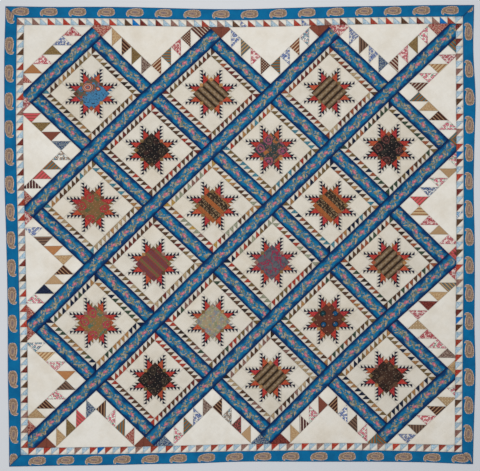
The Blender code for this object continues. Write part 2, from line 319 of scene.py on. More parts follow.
def outlineSegments(patches):
    # Every side of the patches, a shared one once.
    if not patches:
        return np.zeros((0, 2, 2))
    segments = {}
    for patch in patches:
        corners = patch["corners"]
        for first, second in zip(corners, np.roll(corners, -1, axis=0)):
            key = tuple(sorted((tuple(np.round(first, 4)), tuple(np.round(second, 4)))))
            segments[key] = (first, second)
    return np.array(list(segments.values()))


def prepareCell(patches, quilting):
    # Works out a cell's seams and the points that carry its relief.
    seams = outlineSegments([patch for patch in patches if not patch["printed"]])
    drawn = outlineSegments([patch for patch in patches if patch["printed"]])
    lines = np.array(quilting) if quilting else np.zeros((0, 2, 2))
    seamParts, lineParts, drawnParts = (splitSegments(found) for found in (seams, lines, drawn))
    guides = []
    for parts, offset in ((seamParts, meshing["seamOffset"]), (lineParts, meshing["quiltOffset"])):
        if not len(parts):
            continue
        run = parts[:, 1] - parts[:, 0]
        side = np.stack([-run[:, 1], run[:, 0]], 1) / np.linalg.norm(run, axis=1)[:, None]
        for share in (0.0, 0.5, 1.0):
            on = parts[:, 0] + run * share
            for way in (-1.0, 1.0):
                guides.append(on + side * offset * way)
    guides = uniqueRows(np.concatenate(guides), meshing["guideGrain"])
    for found, offset in ((seams, "seamOffset"), (lines, "quiltOffset"), (drawn, "quiltOffset")):
        guides = guides[distanceTo(guides, found) > meshing[offset] * guideRoom]
    every = np.concatenate([patch["corners"] for patch in patches])
    low, high = every.min(0), every.max(0)
    fill = meshing["fillStep"]
    grid = np.stack(np.meshgrid(np.arange(low[0], high[0], fill), np.arange(low[1], high[1], fill)), 2)
    grid = grid.reshape(-1, 2) + fill * meshing["fillShift"]
    for found, room in ((seams, "fillRoom"), (lines, "fillRoom"), (drawn, "drawnRoom")):
        grid = grid[distanceTo(grid, found) > fill * meshing[room]]
    loose = np.concatenate([guides, grid])
    held = np.zeros(len(loose), bool)
    for patch in patches:
        held |= insidePolygon(loose, patch["corners"])
    edges = np.concatenate([seamParts, lineParts, drawnParts])
    return {"patches": patches, "seams": seams, "lines": lines, "loose": loose[held], "edges": edges,
            "low": low, "high": high}


def movedCell(cell, offset):
    # The same cell sewn elsewhere in the lattice.
    moved = {key: cell[key] + offset for key in ("seams", "lines", "edges", "loose", "low", "high")}
    moved["patches"] = cell["patches"]
    return moved


quiltingPaths = {}    # chains of points along its quilting


def heightAt(seamGap, quiltGap, x, y):
    # How high the quilted top stands, from its distances to seams and quilting in frame squares.
    fullness = 1 - np.exp(-seamGap * unitSize / relief["seamFall"])
    fullness = fullness * (1 - relief["quiltDepth"] * np.exp(-quiltGap * unitSize / relief["quiltFall"]))
    rolls = [size * np.sin(turnX * x + turnY * y + start) for turnX, turnY, start, size in relief["rolls"]]
    return relief["seam"] + (relief["puff"] - relief["seam"] + sum(rolls) * mm) * fullness


def layPaths(cells, toLattice):
    # The quilting lines of a piece as chains of points on its top.
    chains = []
    for cell in cells:
        for start, end in cell["lines"]:
            count = max(2, int(np.linalg.norm(end - start) / meshing["pathStep"]) + 1)
            points = start + (end - start) * np.linspace(0, 1, count)[:, None]
            x, y = place(*toLattice(points))
            z = heightAt(distanceTo(points, cell["seams"]), np.zeros(count), x, y) + relief["stitchLift"]
            chains.append(np.stack([x, y, z], 1))
    return chains


def cutFaces(cells, patches):
    # Triangles that keep to every seam and line, each with the number of its patch.
    held = [cell["edges"].reshape(-1, 2) for cell in cells]
    points = np.concatenate(held + [cell["loose"] for cell in cells])
    edges = [(2 * k, 2 * k + 1) for k in range(sum(len(cell["edges"]) for cell in cells))]
    made = delaunay_2d_cdt([Vector(point) for point in points], edges, [], 0, 1e-4, False)
    flat = np.array([tuple(vert) for vert in made[0]])
    faces = np.array([face for face in made[2] if len(face) == 3])
    centres = flat[faces].mean(1)
    owner = np.full(len(faces), -1)
    for number, patch in enumerate(patches):
        low, high = patch["corners"].min(0), patch["corners"].max(0)
        near = np.nonzero(((centres > low) & (centres < high)).all(1))[0]
        owner[near[insidePolygon(centres[near], patch["corners"])]] = number
    faces, owner = faces[owner >= 0], owner[owner >= 0]
    turned = np.cross(flat[faces[:, 1]] - flat[faces[:, 0]], flat[faces[:, 2]] - flat[faces[:, 0]]) < 0
    faces[turned] = faces[turned][:, ::-1]
    used, faces = np.unique(faces, return_inverse=True)
    return flat[used], faces.reshape(-1, 3), owner


def gapsFrom(cells, flat):
    # How far each point lies from the seams and from the quilting of the cells around it.
    gaps = {kind: np.full(len(flat), meshing["farAway"]) for kind in ("seams", "lines")}
    for cell in cells:
        near = np.nonzero(((flat > cell["low"] - 0.01) & (flat < cell["high"] + 0.01)).all(1))[0]
        for kind, gap in gaps.items():
            gap[near] = np.minimum(gap[near], distanceTo(flat[near], cell[kind]))
    return gaps["seams"], gaps["lines"]


def closeBelow(name, faces, owner, top):
    # Walls down from the edge of a top, with the patch that each belongs to, and a flat underside.
    pairs = np.concatenate([faces[:, [0, 1]], faces[:, [1, 2]], faces[:, [2, 0]]])
    patchOfEdge = dict(zip(map(tuple, pairs.tolist()), np.tile(owner, 3).tolist()))
    border = [pair for pair in patchOfEdge if (pair[1], pair[0]) not in patchOfEdge]
    following = dict(border)
    loop = [border[0][0]]
    while following[loop[-1]] != loop[0]:
        loop.append(following[loop[-1]])
    if len(loop) != len(border):
        print("open seam in", name, len(loop), len(border))
    rim = top[loop, :2]
    verts = np.concatenate([top, np.column_stack([rim, np.zeros(len(loop))])])
    lower = {vert: len(top) + k for k, vert in enumerate(loop)}
    walls = []
    for first, second in border:
        walls.append((second, first, lower[first]))
        walls.append((second, lower[first], lower[second]))
    sides = [(k, (k + 1) % len(loop)) for k in range(len(loop))]
    made = delaunay_2d_cdt([Vector(point) for point in rim], sides, [], 0, 1e-7, True)
    middles = np.array([rim[[made[3][vert][0] for vert in face]].mean(0) for face in made[2]])
    under = []
    for face, inside in zip(made[2], insidePolygon(middles, rim)):
        if not inside:
            continue
        corners = [len(top) + made[3][vert][0] for vert in face]
        first, second, third = (verts[corner] for corner in corners)
        if np.cross((second - first)[:2], (third - first)[:2]) > 0:
            corners.reverse()
        under.append(tuple(corners))
    return verts, walls, under, np.repeat([patchOfEdge[pair] for pair in border], 2)


def dyeFaces(mesh, patches, owner, wallOwner, underCount):
    # The material and the three tones of every face: top, walls, then underside.
    kinds = list(clothMaterials)
    plain = kinds.index("underside")
    names = [patch["cloth"] for patch in patches]
    kindOfPatch = np.array([kinds.index(cloths.get(name, (name,))[0]) for name in names])
    faceKinds = np.concatenate([kindOfPatch[owner], kindOfPatch[wallOwner], np.full(underCount, plain)])
    present = np.unique(faceKinds)
    for kind in present:
        mesh.materials.append(clothMaterials[kinds[kind]])
    mesh.polygons.foreach_set("material_index", np.searchsorted(present, faceKinds).astype(np.int32))
    mesh.polygons.foreach_set("use_smooth", np.arange(len(faceKinds)) < len(owner))
    tones = np.ones((3, len(patches) + 1, 4))
    for number, patch in enumerate(patches):
        for which, colour in enumerate(cloths.get(names[number], ())[1:]):
            tones[which, number, :3] = seen(colour) * patch["fade"]
    toneOfFace = np.concatenate([owner, wallOwner, np.full(underCount, len(patches))])
    for which, label in enumerate(toneNames):
        attribute = mesh.attributes.new(label, "FLOAT_COLOR", "CORNER")
        corners = np.repeat(tones[which][toneOfFace], 3, axis=0)
        attribute.data.foreach_set("color", corners.astype(np.float32).ravel())


def layPrint(mesh, patches, owner, corners, restUvs):
    # Where each corner of the top lies on its print, turned and shifted with its patch.
    turns, shifts = (np.array([patch[key] for patch in patches])[owner] for key in ("turn", "shift"))
    middles = [patch["corners"].mean(0) if patch["local"] is None else patch["local"] for patch in patches]
    away = (corners - np.array(middles)[owner][:, None]) * unitSize
    cosine, sine = np.cos(turns)[:, None], np.sin(turns)[:, None]
    along = away[..., 0] * cosine + away[..., 1] * sine
    across = away[..., 1] * cosine - away[..., 0] * sine
    uvs = np.concatenate([np.stack([along, across], 2) + shifts[:, None], restUvs])
    mesh.uv_layers.new(name="print").data.foreach_set("uv", uvs.astype(np.float32).ravel())


def sewPiece(name, cells, toLattice, hemSide=None):
    # Joins cells into one closed piece: a quilted top, its edge and a flat underside.
    patches = [patch for cell in cells for patch in cell["patches"]]
    flat, faces, owner = cutFaces(cells, patches)
    seamGap, quiltGap = gapsFrom(cells, flat)
    column, row = toLattice(flat)
    x, y = place(column, row)
    height = heightAt(seamGap, quiltGap, x, y)
    if hemSide:
        left, right, top, bottom = layout["edge"]
        toEdge = {"left": column - left, "right": right - column, "top": row - top, "bottom": bottom - row}
        height[toEdge[hemSide] < 1e-4] = relief["hem"]
    quiltingPaths[name] = layPaths(cells, toLattice)
    verts, walls, under, wallOwner = closeBelow(name, faces, owner, np.stack([x, y, height], 1))
    mesh = bpy.data.meshes.new(name)
    mesh.from_pydata(verts.tolist(), [], faces.tolist() + walls + under)
    dyeFaces(mesh, patches, owner, wallOwner, len(under))
    layPrint(mesh, patches, owner, flat[faces], verts[np.array(walls + under)][..., :2])
    fromSeam = np.zeros(len(verts))
    fromSeam[:len(flat)] = np.minimum(seamGap, 3.0) * unitSize / mm
    mesh.attributes.new("fromSeam", "FLOAT", "POINT").data.foreach_set("value", fromSeam.astype(np.float32))
    mesh.validate()
    mesh.update()
    piece = bpy.data.objects.new(name, mesh)
    scene.collection.objects.link(piece)
    return piece


# Cloth materials

def addNode(tree, kind, inputs=None, **settings):
    made = tree.nodes.new(kind)
    for key, value in settings.items():
        setattr(made, key, value)
    for key, value in (inputs or {}).items():
        if isinstance(value, bpy.types.NodeSocket):
            tree.links.new(value, made.inputs[key])
        else:
            made.inputs[key].default_value = value
    return made


def calc(tree, operation, first, second=0.0, third=0.0):
    return addNode(tree, "ShaderNodeMath", {0: first, 1: second, 2: third}, operation=operation).outputs[0]


def times(tree, first, second):
    return calc(tree, "MULTIPLY", first, second)


def minus(tree, first, second):
    return calc(tree, "SUBTRACT", first, second)


def timesPlus(tree, first, second, third):
    return calc(tree, "MULTIPLY_ADD", first, second, third)


def blendTones(tree, share, first, second, way="MIX"):
    # Both tones are sockets or seen colours.
    made = addNode(tree, "ShaderNodeMix", {0: share}, data_type="RGBA", blend_type=way)
    for index, value in ((6, first), (7, second)):
        if isinstance(value, bpy.types.NodeSocket):
            tree.links.new(value, made.inputs[index])
        else:
            made.inputs[index].default_value = (*linear(value), 1.0)
    return made.outputs[2]


def ramp(tree, value, low, high, way="SMOOTHSTEP"):
    # 0 at low, 1 at high, smooth between.
    return addNode(tree, "ShaderNodeMapRange", {0: value, 1: low, 2: high}, interpolation_type=way).outputs[0]


def printOver(tree, tone, colour, mask, strength=1.0):
    # A colour printed on a tone where the mask is 1, thinly where the strength is low.
    return blendTones(tree, mask if strength == 1.0 else times(tree, mask, strength), tone, colour)


def attributeOf(tree, name):
    return addNode(tree, "ShaderNodeAttribute", attribute_name=name)


def noiseOf(tree, vector, scale, detail=2.0, rough=0.5, distortion=0.0):
    return addNode(tree, "ShaderNodeTexNoise", {"Vector": vector, "Scale": scale, "Detail": detail,
                                                "Roughness": rough, "Distortion": distortion}).outputs[0]


def alongAcross(tree, point):
    split = addNode(tree, "ShaderNodeSeparateXYZ", {0: point})
    return split.outputs["X"], split.outputs["Y"]


def shifted(tree, point, x, y, z=0.0):
    # The same print from another place of its pattern.
    return addNode(tree, "ShaderNodeVectorMath", {0: point, 1: (x, y, z)}, operation="ADD").outputs[0]


def flowerCells(tree, point, scale, randomness):
    # Scattered cells for round motifs; Distance is counted in cells from a cell's middle.
    return addNode(tree, "ShaderNodeTexVoronoi", {"Vector": point, "Scale": scale, "Randomness": randomness},
                   voronoi_dimensions="2D")


def spotOnCloth(tree):
    return addNode(tree, "ShaderNodeTexCoord").outputs["Object"]


def newGroup(name, inputs, outputs):
    group = bpy.data.node_groups.new(name, "ShaderNodeTree")
    for label, kind, value in inputs:
        socket = group.interface.new_socket(label, in_out="INPUT", socket_type=kind)
        if value is not None:
            socket.default_value = value
    for label, kind in outputs:
        group.interface.new_socket(label, in_out="OUTPUT", socket_type=kind)
    return group, group.nodes.new("NodeGroupInput"), group.nodes.new("NodeGroupOutput")


finish = {
    "threadScale": 900.0,       # threads of the weave in a metre
    "threadTone": 0.10,
    "slubTone": 0.07,
    "ageTone": (236, 214, 176),
    "ageShare": 0.16,
    # Painted shade along the sunk seams and outer edges: how much it darkens the cloth, and how far it
    # reaches
    "seamShade": 0.22,
    "seamReach": 5.0,           # millimetres from a seam
    "roughness": 0.88,
    "bump": 0.25,
    "bumpDistance": 0.0006,
    "Specular IOR Level": 0.12,
    "Sheen Weight": 0.03,
    "Sheen Roughness": 0.5,
}


def makeSurfaceGroup():
    # Weave, slubs, yellowing with age and painted shade that darkens the cloth towards its sunk seams and
    # outer edges, shared by every cloth.
    inputs = [("Tone", "NodeSocketColor", (0.8, 0.8, 0.8, 1.0)), ("Print", "NodeSocketVector", None),
              ("Age", "NodeSocketFloat", 1.0)]
    outputs = [("Tone", "NodeSocketColor"), ("Roughness", "NodeSocketFloat"), ("Height", "NodeSocketFloat")]
    group, entry, leave = newGroup("clothSurface", inputs, outputs)
    waves = []
    for side in alongAcross(group, entry.outputs["Print"]):
        turned = times(group, side, finish["threadScale"] * math.pi)
        waves.append(calc(group, "ABSOLUTE", calc(group, "SINE", turned)))
    thread = times(group, waves[0], waves[1])
    slub = noiseOf(group, entry.outputs["Print"], 420.0, 3.0, 0.6)
    spot = spotOnCloth(group)
    wide = noiseOf(group, spot, 2.3, 4.0, 0.55)
    middle = noiseOf(group, spot, 17.0, 3.0, 0.6)
    soil = noiseOf(group, spot, 60.0, 3.0, 0.6)
    # Painted shade: the tone darkens within seamReach of the sunk seams and the outer edges, where shade
    # falls
    fromSeam = attributeOf(group, "fromSeam").outputs["Fac"]
    clear = ramp(group, fromSeam, 0.0, finish["seamReach"], "SMOOTHERSTEP")
    shade = timesPlus(group, thread, finish["threadTone"], 1.0 - finish["threadTone"] * 0.4)
    shade = times(group, shade, timesPlus(group, slub, finish["slubTone"] * 2, 1.0 - finish["slubTone"]))
    shade = times(group, shade, timesPlus(group, soil, 0.10, 0.95))
    shade = times(group, shade, timesPlus(group, clear, finish["seamShade"], 1.0 - finish["seamShade"]))
    grey = addNode(group, "ShaderNodeCombineColor", {0: shade, 1: shade, 2: shade}).outputs[0]
    tone = blendTones(group, 1.0, entry.outputs["Tone"], grey, "MULTIPLY")
    stain = times(group, ramp(group, timesPlus(group, middle, 0.45, wide), 0.62, 0.95), finish["ageShare"])
    stain = times(group, stain, entry.outputs["Age"])
    aged = blendTones(group, stain, tone, blendTones(group, 1.0, tone, finish["ageTone"], "MULTIPLY"))
    group.links.new(aged, leave.inputs["Tone"])
    group.links.new(timesPlus(group, slub, 0.10, finish["roughness"] - 0.05), leave.inputs["Roughness"])
    height = timesPlus(group, thread, 0.25, times(group, slub, 0.35))
    height = timesPlus(group, noiseOf(group, spot, 130.0), 0.9, height)
    group.links.new(height, leave.inputs["Height"])
    return group


surfaceGroup = makeSurfaceGroup()


def makeCloth(kind):
    # Paints a cloth and ends it in the shared surface group, bump and shader.
    name, paint, age = prints[kind]
    material = bpy.data.materials.new(name)
    material.use_nodes = True
    tree = material.node_tree
    shader = tree.nodes["Principled BSDF"]
    point = addNode(tree, "ShaderNodeUVMap", uv_map="print").outputs[0]
    surface = addNode(tree, "ShaderNodeGroup", node_tree=surfaceGroup)
    tree.links.new(paint(tree, point), surface.inputs["Tone"])
    tree.links.new(point, surface.inputs["Print"])
    surface.inputs["Age"].default_value = age
    bump = addNode(tree, "ShaderNodeBump", {"Height": surface.outputs["Height"], "Strength": finish["bump"],
                                            "Distance": finish["bumpDistance"]})
    tree.links.new(surface.outputs["Tone"], shader.inputs["Base Color"])
    tree.links.new(surface.outputs["Roughness"], shader.inputs["Roughness"])
    tree.links.new(bump.outputs[0], shader.inputs["Normal"])
    for label in ("Specular IOR Level", "Sheen Weight", "Sheen Roughness"):
        shader.inputs[label].default_value = finish[label]
    return material


def threeTones(tree):
    # Each patch carries its own ground, figure and accent.
    return [attributeOf(tree, label).outputs["Color"] for label in toneNames]


def speckle(tree, point, scale, low, high, shift=0.0):
    # Irregular blots of a print, 1 inside a blot.
    moved = shifted(tree, point, shift, shift * 0.7, shift)
    return ramp(tree, noiseOf(tree, moved, scale, 2.5, 0.55, 0.4), low, high)


def blossoms(tree, point, scale, size, shift=0.0):
    # Small round flowers set in a loose scatter, 1 inside a petal.
    moved = shifted(tree, point, shift, shift)
    gap = flowerCells(tree, moved, scale, 0.8).outputs["Distance"]
    reach = timesPlus(tree, noiseOf(tree, moved, scale * 2.6, 1.0), size, size * 0.5)
    return ramp(tree, calc(tree, "DIVIDE", gap, reach), 1.1, 0.85)


def roundGap(tree, x, y):
    return calc(tree, "SQRT", calc(tree, "ADD", times(tree, x, x), times(tree, y, y)))


def oval(tree, along, across, centre, size, turn=0.0, soft=0.12):
    # 1 inside an oval motif at a place along and across the cloth.
    dx, dy = minus(tree, along, centre[0]), minus(tree, across, centre[1])
    cosine, sine = math.cos(turn), math.sin(turn)
    x = timesPlus(tree, dx, cosine / size[0], times(tree, dy, sine / size[0]))
    y = timesPlus(tree, dy, cosine / size[1], times(tree, dx, -sine / size[1]))
    return ramp(tree, roundGap(tree, x, y), 1.0 + soft, 1.0 - soft)


def paintMuslin(tree, point):
    ground, figure, accent = threeTones(tree)
    cloud = noiseOf(tree, spotOnCloth(tree), 9.0, 4.0, 0.6)
    tone = printOver(tree, ground, figure, ramp(tree, cloud, 0.35, 0.75))
    return printOver(tree, tone, accent, speckle(tree, point, 900.0, 0.70, 0.78), 0.35)


def paintDyed(tree, point):
    ground, figure, accent = threeTones(tree)
    tone = printOver(tree, ground, figure, speckle(tree, point, 160.0, 0.45, 0.75))
    return printOver(tree, tone, accent, speckle(tree, point, 420.0, 0.55, 0.7, 3.1), 0.5)


def paintCalico(tree, point):
    ground, figure, accent = threeTones(tree)
    tone = printOver(tree, ground, figure, speckle(tree, point, 150.0, 0.50, 0.60))
    tone = printOver(tree, tone, figure, blossoms(tree, point, 115.0, 0.30))
    return printOver(tree, tone, accent, blossoms(tree, point, 150.0, 0.20, 5.3))


def paintSprigs(tree, point):
    # Loose coloured sprigs on white.
    ground, figure, accent = threeTones(tree)
    kept = ramp(tree, noiseOf(tree, point, 95.0, 1.0), 0.60, 0.50)
    tone = printOver(tree, ground, accent, times(tree, speckle(tree, point, 95.0, 0.535, 0.575, 1.7), kept))
    tone = printOver(tree, tone, figure, blossoms(tree, point, 62.0, 0.42))
    tone = printOver(tree, tone, accent, blossoms(tree, point, 120.0, 0.20, 2.9))
    return printOver(tree, tone, ground, blossoms(tree, point, 62.0, 0.13))


def bandMask(tree, value, spacing, low, high):
    # 1 inside a stripe, from low to high of each repeat.
    part = calc(tree, "FRACT", times(tree, value, 1 / spacing))
    edge = 0.02
    return minus(tree, ramp(tree, part, low - edge, low + edge), ramp(tree, part, high - edge, high + edge))


def paintStripes(tree, point):
    ground, figure, accent = threeTones(tree)
    across = alongAcross(tree, point)[1]
    spacing = 1 / 62
    tone = printOver(tree, ground, accent, bandMask(tree, across, spacing, 0.10, 0.38))
    tone = printOver(tree, tone, figure, bandMask(tree, across, spacing, 0.50, 0.78))
    return printOver(tree, tone, accent, speckle(tree, point, 260.0, 0.56, 0.66), 0.6)


def paintCheck(tree, point):
    ground, figure, accent = threeTones(tree)
    first, second = (bandMask(tree, side, 1 / 85, 0.2, 0.6) for side in alongAcross(tree, point))
    tone = printOver(tree, ground, accent, calc(tree, "MAXIMUM", first, second))
    return printOver(tree, tone, figure, times(tree, first, second))


def paintChintz(tree, point):
    # Larger flowers and leaves on a dark or coloured ground, for the star centres.
    ground, figure, accent = threeTones(tree)
    tone = printOver(tree, ground, accent, speckle(tree, point, 22.0, 0.52, 0.64, 4.2))
    tone = printOver(tree, tone, figure, blossoms(tree, point, 13.0, 0.34))
    ring = minus(tree, blossoms(tree, point, 13.0, 0.22), blossoms(tree, point, 13.0, 0.13))
    tone = printOver(tree, tone, ground, ring)
    tone = printOver(tree, tone, accent, speckle(tree, point, 75.0, 0.56, 0.64), 0.5)
    light = blendTones(tree, 0.30, figure, (220, 196, 168))
    return printOver(tree, tone, light, blossoms(tree, point, 52.0, 0.13, 1.9), 0.7)


scrollMotifs = (
    # Place, flatness and turn of a ringed scroll, then its rings from the outermost: size and colour
    ((-0.040, 0.012), 0.82, 0.8, ((0.034, (70, 58, 50)), (0.029, (196, 150, 120)), (0.025, (150, 54, 52)),
                                  (0.019, (206, 176, 150)), (0.015, (74, 66, 96)), (0.009, (170, 96, 74)))),
    ((0.006, 0.046), 0.7, 0.3, ((0.016, (80, 60, 50)), (0.012, (170, 82, 66)), (0.006, (206, 170, 140)))),
)


def paintScroll(tree, point):
    # Large ringed scrolls and busy leaves at one end, fine sprigs on the ground at the other.
    ground, figure, accent = threeTones(tree)
    along, across = alongAcross(tree, point)
    busy = ramp(tree, timesPlus(tree, noiseOf(tree, point, 20.0), 0.07, along), 0.045, 0.010)
    tone = printOver(tree, ground, (40, 52, 66), speckle(tree, point, 90.0, 0.54, 0.60, 3.3))
    tone = printOver(tree, tone, accent, times(tree, speckle(tree, point, 42.0, 0.46, 0.54, 1.2), busy))
    tone = printOver(tree, tone, figure, times(tree, speckle(tree, point, 55.0, 0.53, 0.60, 6.4), busy))
    for centre, flatness, turn, rings in scrollMotifs:
        for size, colour in rings:
            ring = oval(tree, along, across, centre, (size, size * flatness), turn)
            tone = printOver(tree, tone, colour, ring)
    return tone


def paintOmbre(tree, point):
    # Soft brown stripes with thin dark lines and pale florets between them.
    ground, figure, accent = threeTones(tree)
    spacing = 0.0355
    part = calc(tree, "FRACT", times(tree, alongAcross(tree, point)[1], 1 / spacing))
    ridge = calc(tree, "ABSOLUTE", minus(tree, part, 0.5))
    tone = printOver(tree, accent, ground, ramp(tree, ridge, 0.02, 0.26))
    tone = printOver(tree, tone, figure, ramp(tree, ridge, 0.28, 0.44))
    florets = times(tree, blossoms(tree, point, 46.0, 0.30), ramp(tree, ridge, 0.34, 0.24))
    tone = printOver(tree, tone, (160, 140, 118), florets, 0.45)
    return printOver(tree, tone, figure, speckle(tree, point, 120.0, 0.52, 0.62), 0.45)


def paintBands(tree, point):
    # Broad orange-brown bands between dark flowered ones.
    ground, figure, accent = threeTones(tree)
    across = alongAcross(tree, point)[1]
    spacing = 0.068
    flowered = printOver(tree, figure, accent, speckle(tree, point, 90.0, 0.50, 0.58))
    flowered = printOver(tree, flowered, (44, 32, 26), bandMask(tree, across, spacing, 0.58, 0.66))
    plain = printOver(tree, ground, figure, speckle(tree, point, 200.0, 0.5, 0.62), 0.5)
    return printOver(tree, plain, flowered, bandMask(tree, across, spacing, 0.30, 0.94))


def paintDiaper(tree, point):
    # Close rows of small diamonds, olive bands between crimson ones.
    ground, figure, accent = threeTones(tree)
    along, across = alongAcross(tree, point)
    broad = bandMask(tree, across, 0.049, 0.12, 0.52)
    rows = bandMask(tree, across, 0.0163, 0.30, 0.72)
    diamonds = times(tree, rows, bandMask(tree, along, 0.0135, 0.25, 0.75))
    tone = printOver(tree, ground, figure, broad)
    tone = printOver(tree, tone, printOver(tree, accent, (158, 50, 58), broad), diamonds, 0.85)
    return printOver(tree, tone, figure, speckle(tree, point, 190.0, 0.5, 0.62), 0.4)


def paintMottle(tree, point):
    # Soft blue-grey clouds on stone, with small tan and green marks.
    ground, figure, accent = threeTones(tree)
    tone = printOver(tree, ground, figure, speckle(tree, point, 30.0, 0.47, 0.58, 2.4), 0.75)
    tone = printOver(tree, tone, accent, speckle(tree, point, 62.0, 0.55, 0.61, 7.2), 0.75)
    tone = printOver(tree, tone, (110, 124, 92), speckle(tree, point, 55.0, 0.56, 0.62, 11.3), 0.6)
    return printOver(tree, tone, (188, 176, 146), blossoms(tree, point, 40.0, 0.16, 3.6), 0.5)


def paintVeins(tree, point):
    ground, figure, accent = threeTones(tree)
    warped = noiseOf(tree, point, 22.0, 2.0, 0.5, 0.6)
    vein = ramp(tree, calc(tree, "ABSOLUTE", minus(tree, warped, 0.5)), 0.045, 0.012)
    tone = printOver(tree, ground, accent, speckle(tree, point, 60.0, 0.46, 0.6, 2.0))
    return printOver(tree, tone, figure, vein)


def paintMedallions(tree, point):
    # Round blue-green medallions on red-brown, with small pale spots.
    ground, figure, accent = threeTones(tree)
    spacing = 0.067
    cells = flowerCells(tree, shifted(tree, point, spacing / 2, spacing / 2), 1 / spacing, 0.10).outputs
    hue = addNode(tree, "ShaderNodeSeparateColor", {0: cells["Color"]}).outputs[0]
    disc = printOver(tree, figure, (24, 74, 116), ramp(tree, hue, 0.45, 0.55))
    tone = printOver(tree, ground, (84, 44, 36), speckle(tree, point, 110.0, 0.50, 0.60))
    rings = (((30, 34, 34), 0.29, 0.26), (disc, 0.21, 0.17), ((60, 110, 120), 0.06, 0.04))
    for colour, outer, inner in rings:
        tone = printOver(tree, tone, colour, ramp(tree, cells["Distance"], outer, inner))
    return printOver(tree, tone, accent, blossoms(tree, point, 32.0, 0.11, 2.2))


sashLook = {
    "halfWidth": 0.0417,       # metres from the middle of a strip to its seam
    "repeat": 0.104,
    "edge": (12, 34, 80),
    "deep": (2, 58, 102),
    "bright": (4, 104, 148),
    "gleam": (64, 138, 168),
    "rose": (180, 98, 114),
    "roseLight": (208, 140, 140),
    "leaf": (120, 118, 84),
    "leafDark": (66, 84, 78),
    "buff": (178, 158, 122),
    "sway": 0.0075,
}


sashBlots = (
    # Pale gleams, then olive and buff leaves: scale, shift, low, high, colour, strength
    (62.0, 2.6, 0.50, 0.60, "gleam", 0.55),
    (70.0, 5.1, 0.53, 0.60, "leafDark", 0.75),
    (78.0, 8.7, 0.53, 0.59, "leaf", 0.80),
    (86.0, 11.9, 0.54, 0.60, "buff", 0.80),
)
sashLeaves = (
    # Place in a repeat, half sizes, turn, colour
    ((-0.034, 0.013), (0.009, 0.0034), 0.7, "buff"),
    ((-0.040, -0.011), (0.010, 0.0034), -0.6, "leaf"),
    ((0.033, 0.013), (0.010, 0.0034), -0.5, "leaf"),
    ((0.037, -0.012), (0.009, 0.0034), 0.6, "buff"),
    ((0.018, 0.014), (0.007, 0.0034), 0.3, "leafDark"),
    ((-0.018, -0.014), (0.008, 0.0034), 0.2, "buff"),
)


def paintSashPrint(tree, point):
    # Blue shaded strip with a winding leafy vine and a rose in every repeat.
    look = sashLook
    x, y = alongAcross(tree, point)
    cloud = noiseOf(tree, point, 38.0).node.outputs["Color"]
    warp = addNode(tree, "ShaderNodeSeparateColor", {0: cloud}).outputs
    along = calc(tree, "ADD", x, timesPlus(tree, warp[0], 0.012, -0.006))
    across = calc(tree, "ADD", y, timesPlus(tree, warp[1], 0.010, -0.005))
    turn = times(tree, along, 1 / look["repeat"])
    local = times(tree, minus(tree, calc(tree, "FRACT", turn), 0.5), look["repeat"])
    off = minus(tree, across, times(tree, calc(tree, "SINE", times(tree, turn, 2 * math.pi)), look["sway"]))
    edgeShare = calc(tree, "DIVIDE", calc(tree, "ABSOLUTE", y), look["halfWidth"])
    glow = timesPlus(tree, edgeShare, -0.60, times(tree, noiseOf(tree, point, 26.0), 1.3))
    tone = printOver(tree, look["deep"], look["bright"], ramp(tree, glow, 0.10, 0.46))
    tone = printOver(tree, tone, look["edge"], ramp(tree, edgeShare, 0.60, 0.93))
    nearVine = ramp(tree, calc(tree, "ABSOLUTE", off), 0.024, 0.010)
    for scale, shift, low, high, colour, strength in sashBlots:
        blots = times(tree, speckle(tree, point, scale, low, high, shift), nearVine)
        tone = printOver(tree, tone, look[colour], blots, strength)
    for centre, size, turned, colour in sashLeaves:
        tone = printOver(tree, tone, look[colour], oval(tree, local, off, centre, size, turned), 0.85)
    rose = oval(tree, local, off, (0.0, 0.0), (0.0150, 0.0074), 0.3, 0.25)
    tone = printOver(tree, tone, look["rose"], rose)
    heart = oval(tree, local, off, (0.003, 0.001), (0.0060, 0.0030), 0.3)
    return printOver(tree, tone, look["roseLight"], heart)


borderLook = {
    "blue": (4, 106, 154),
    "blueDeep": (4, 90, 136),
    "bluePale": (26, 116, 164),
    "blueEdge": (12, 42, 102),
    "line": (206, 180, 160),
    "body": (158, 134, 110),
    "bodyDark": (118, 98, 84),
    "core": (124, 112, 118),
    "dots": (104, 74, 72),
    "heart": (0.002, 0.001),   # metres from a paisley's middle
    "bodySize": (0.044, 0.0195),
    "beads": 14.0,
}


def paintBorderBlue(tree, point):
    look = borderLook
    cloud = noiseOf(tree, spotOnCloth(tree), 12.0, 3.0, 0.6)
    tone = printOver(tree, look["blue"], look["blueDeep"], ramp(tree, cloud, 0.3, 0.7))
    tone = printOver(tree, tone, look["bluePale"], speckle(tree, point, 210.0, 0.45, 0.75), 0.25)
    nearSeam = ramp(tree, attributeOf(tree, "fromSeam").outputs["Fac"], 5.0, 1.5)
    return printOver(tree, tone, look["blueEdge"], nearSeam, 0.4)


def paintPaisleyLine(tree, point):
    return printOver(tree, borderLook["line"], borderLook["bodyDark"], blossoms(tree, point, 150.0, 0.34))


